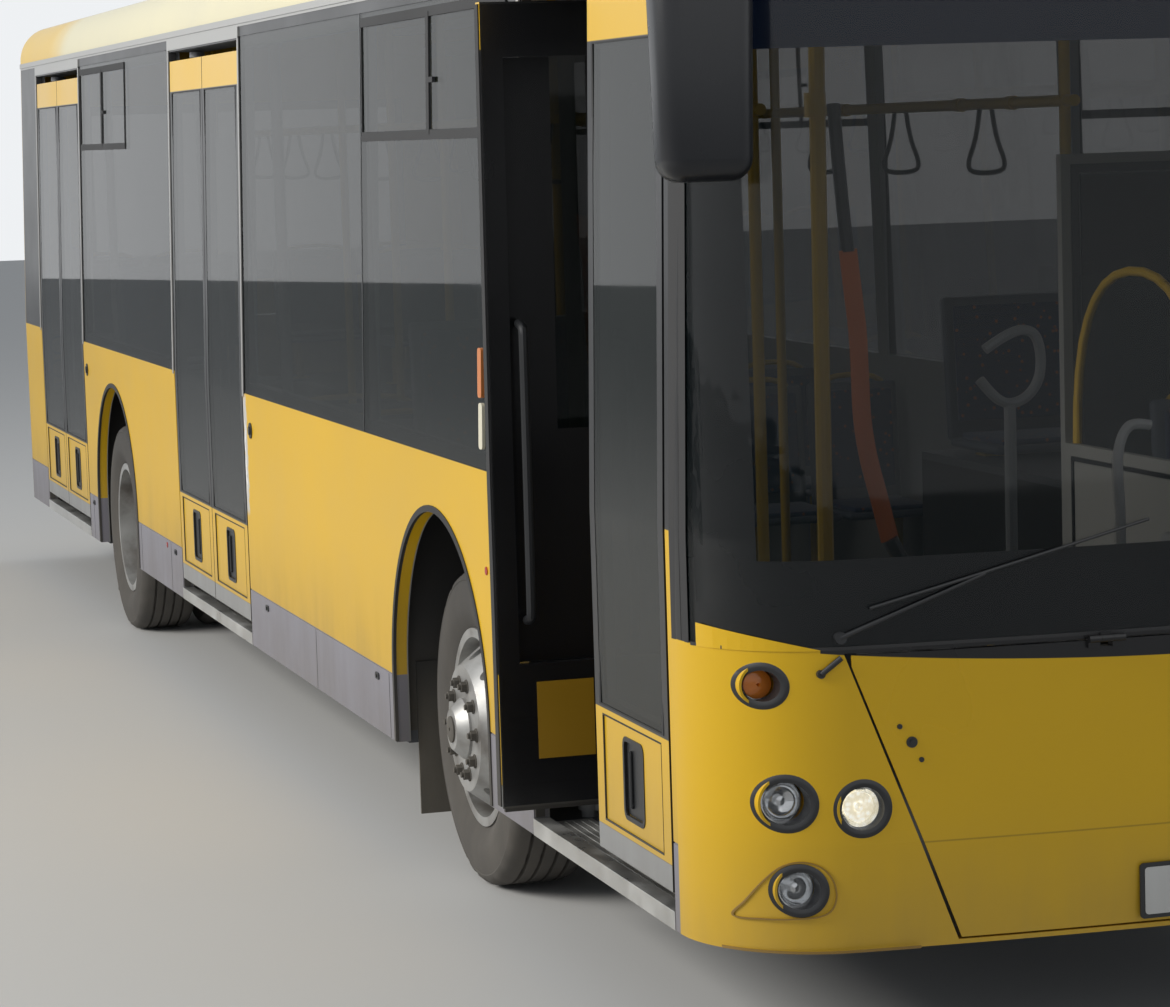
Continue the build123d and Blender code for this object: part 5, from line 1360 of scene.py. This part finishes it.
# Ceiling: two light lines and air ducts with slots along the coves
ceiling = {
    "lamps": ((-5.0, -2.6), (-2.5, -0.1), (0.0, 2.4), (2.5, 4.9)), "lampY": (0.640, 0.760), "ductY": (0.900, 1.130),
    "slotY": (0.98, 1.06), "slots": 26, "pitch": 0.40,
}
lines, ducts = bmesh.new(), bmesh.new()
for hand in (-1, 1):
    (lamp0, lamp1), (duct0, duct1), (slot0, slot1) = (
        sorted(hand * y for y in ceiling[key]) for key in ("lampY", "ductY", "slotY"))
    for x0, x1 in ceiling["lamps"]:
        addBox(lines, (x0, lamp0, 2.805), (x1, lamp1, 2.840), 0.012, 2)
    addBox(ducts, (-5.40, duct0, 2.700), (5.00, duct1, 2.760), 0.025, 3)
    for k in range(ceiling["slots"]):
        x = -5.2 + k * ceiling["pitch"]
        addBox(ducts, (x, slot0, 2.694), (x + 0.16, slot1, 2.702), 0.003, 1)
finishPiece(lines, "ceilingLamps", matPlate, "root", "interior_plastic")
finishPiece(ducts, "ceilingDucts", matLining, "root", "interior_plastic")
print("cabin ready")

# Rear: window seal, lid louvres with their frame and latches, blank plate and seams
rear = {"louvres": 11, "louvreZ": 0.580, "pitch": 0.030, "louvreHalf": 0.620, "frameLow": 0.560, "frameHigh": 0.920}
makePiece("rearWindowSeal", matRubber, "root", "black_plastic", [
    (addRibbon, rearSkin, roundedOutline(0, 1.990, 1.806, 0.986, 0.030), 0.016, -0.003, 0.004, True)])
bm = bmesh.new()
half, low, high = rear["louvreHalf"], rear["frameLow"], rear["frameHigh"]
for k in range(rear["louvres"]):
    z = rear["louvreZ"] + k * rear["pitch"]
    addPatch(bm, rearSkin, (-half, half), (z, z + 0.016), -0.0028, sunk, (8, 1))
half += 0.02
addRibbon(bm, rearSkin, [(-half, low), (half, low), (half, high), (-half, high)], 0.008, -0.002, sunk, closed=True)
addShape(bm, rearSkin, roundedOutline(0, 0.510, 0.180, 0.030, 0.012), -0.0028, sunk)
for y in (-0.70, 0.70):
    addDot(bm, rearSkin, y, 0.520, 0.014, -0.0028, sunk, 24)
finishPiece(bm, "lidLouvres", matPlastic, "engine_lid", "black_plastic")
addPlate(rearSkin, 1.080, 0.024, (0.0020, 0.0029, 0.0015), "engine_lid", "rearPlateHolder", "blankRearPlate")
bm = bmesh.new()
for z in (1.435, 2.560):
    addRibbon(bm, rearSkin, evenRoute(1.22, z, 40), 0.004, -0.0006, sunk)
for y in (-1.0, 1.0):
    addRibbon(bm, rearSkin, [(y, 0.36), (y, 1.43)], 0.004, -0.0006, sunk)
finishPiece(bm, "rearSeams", matRubber, "root", "black_plastic")

# Roof: panel seams and three hatches, level with the skin so that the bus stays as tall as its frame
roof = {"hatches": (3.3, 0.0, -3.3), "seams": (5.0, 4.1, 2.5, 0.9, -0.9, -2.5, -4.1, -5.0), "seamHalf": 1.02}


def crownZ(y):
    # Height of the roof's outer face
    half, rise = body["crownHalf"], body["crownRise"]
    radius = (half ** 2 + rise ** 2) / (2 * rise)
    return body["roofTop"] - radius + sqrt(max(0.0, radius ** 2 - y * y))


def roofSkin(u, v, depth):
    return Vector((u, v, crownZ(v) - depth))


seams, lids = bmesh.new(), bmesh.new()
for x in roof["hatches"]:
    addRibbon(seams, roofSkin, roundedOutline(x, 0, 0.760, 0.620, 0.08), 0.026, -0.0002, 0.003, closed=True)
    addPatch(lids, roofSkin, (x - 0.365, x + 0.365), (-0.295, 0.295), -0.0001, 0.003, (2, 12))
for x in roof["seams"]:
    route = [(x, y) for y, _ in evenRoute(roof["seamHalf"], 0, 16)]
    addRibbon(seams, roofSkin, route, 0.012, -0.0001, 0.003)
finishPiece(seams, "roofSeams", matRubber, "root", "cream_paint", sharp=25)
finishPiece(lids, "roofHatches", matLining, "root", "cream_paint", sharp=25)
print("rear and roof ready")

# Floor, lamps and sky
stage = {"half": 60.0, "floorTone": (0.60, 0.60, 0.59), "sky": (0.86, 0.88, 0.90), "light": 0.33}


def addStage():
    mesh = bpy.data.meshes.new("studioFloor")
    bm = bmesh.new()
    bmesh.ops.create_grid(bm, x_segments=2, y_segments=2, size=stage["half"])
    bm.to_mesh(mesh)
    bm.free()
    floor = bpy.data.objects.new("studioFloor", mesh)
    bpy.context.scene.collection.objects.link(floor)
    material, _, _ = startMaterial("floorTone", {"Base Color": (*stage["floorTone"], 1), "Roughness": 0.9})
    mesh.materials.append(material)


def addLamp(name, place, aim, size, energy, tint=(1, 1, 1)):
    data = bpy.data.lights.new(name, "AREA")
    data.shape = "RECTANGLE"
    data.size, data.size_y = size
    data.energy = energy
    data.color = tint
    lamp = bpy.data.objects.new(name, data)
    ahead = (Vector(aim) - Vector(place)).normalized()
    lamp.matrix_world = Matrix.Translation(place) @ ahead.to_track_quat("-Z", "Y").to_matrix().to_4x4()
    bpy.context.scene.collection.objects.link(lamp)


def addSky():
    world = bpy.data.worlds.new("studioSky")
    bpy.context.scene.world = world
    world.use_nodes = True
    tree = world.node_tree
    light = tree.nodes["Background"]
    light.inputs["Color"].default_value = (0.80, 0.86, 0.94, 1)
    light.inputs["Strength"].default_value = stage["light"]
    shown = addNode(tree, "ShaderNodeBackground", {"Color": (*stage["sky"], 1), "Strength": 1.0})
    path = tree.nodes.new("ShaderNodeLightPath")
    seen = calc(tree, "MAXIMUM", path.outputs["Is Camera Ray"], path.outputs["Is Glossy Ray"])
    seen = calc(tree, "MAXIMUM", seen, path.outputs["Is Transmission Ray"])
    mix = tree.nodes.new("ShaderNodeMixShader")
    tree.links.new(seen, mix.inputs[0])
    tree.links.new(light.outputs[0], mix.inputs[1])
    tree.links.new(shown.outputs[0], mix.inputs[2])
    tree.links.new(mix.outputs[0], tree.nodes["World Output"].inputs["Surface"])


addStage()
addSky()
addLamp("kerbKey", (2.0, -14.0, 9.0), (0.0, 0.0, 1.2), (12.0, 6.0), 2050.0, (1.0, 0.97, 0.92))
addLamp("frontFill", (16.0, 3.0, 8.0), (4.0, 0.0, 1.2), (8.0, 6.0), 60.0)
addLamp("farFill", (-6.0, 14.0, 9.0), (0.0, 0.0, 1.2), (12.0, 6.0), 650.0)
print("stage ready")
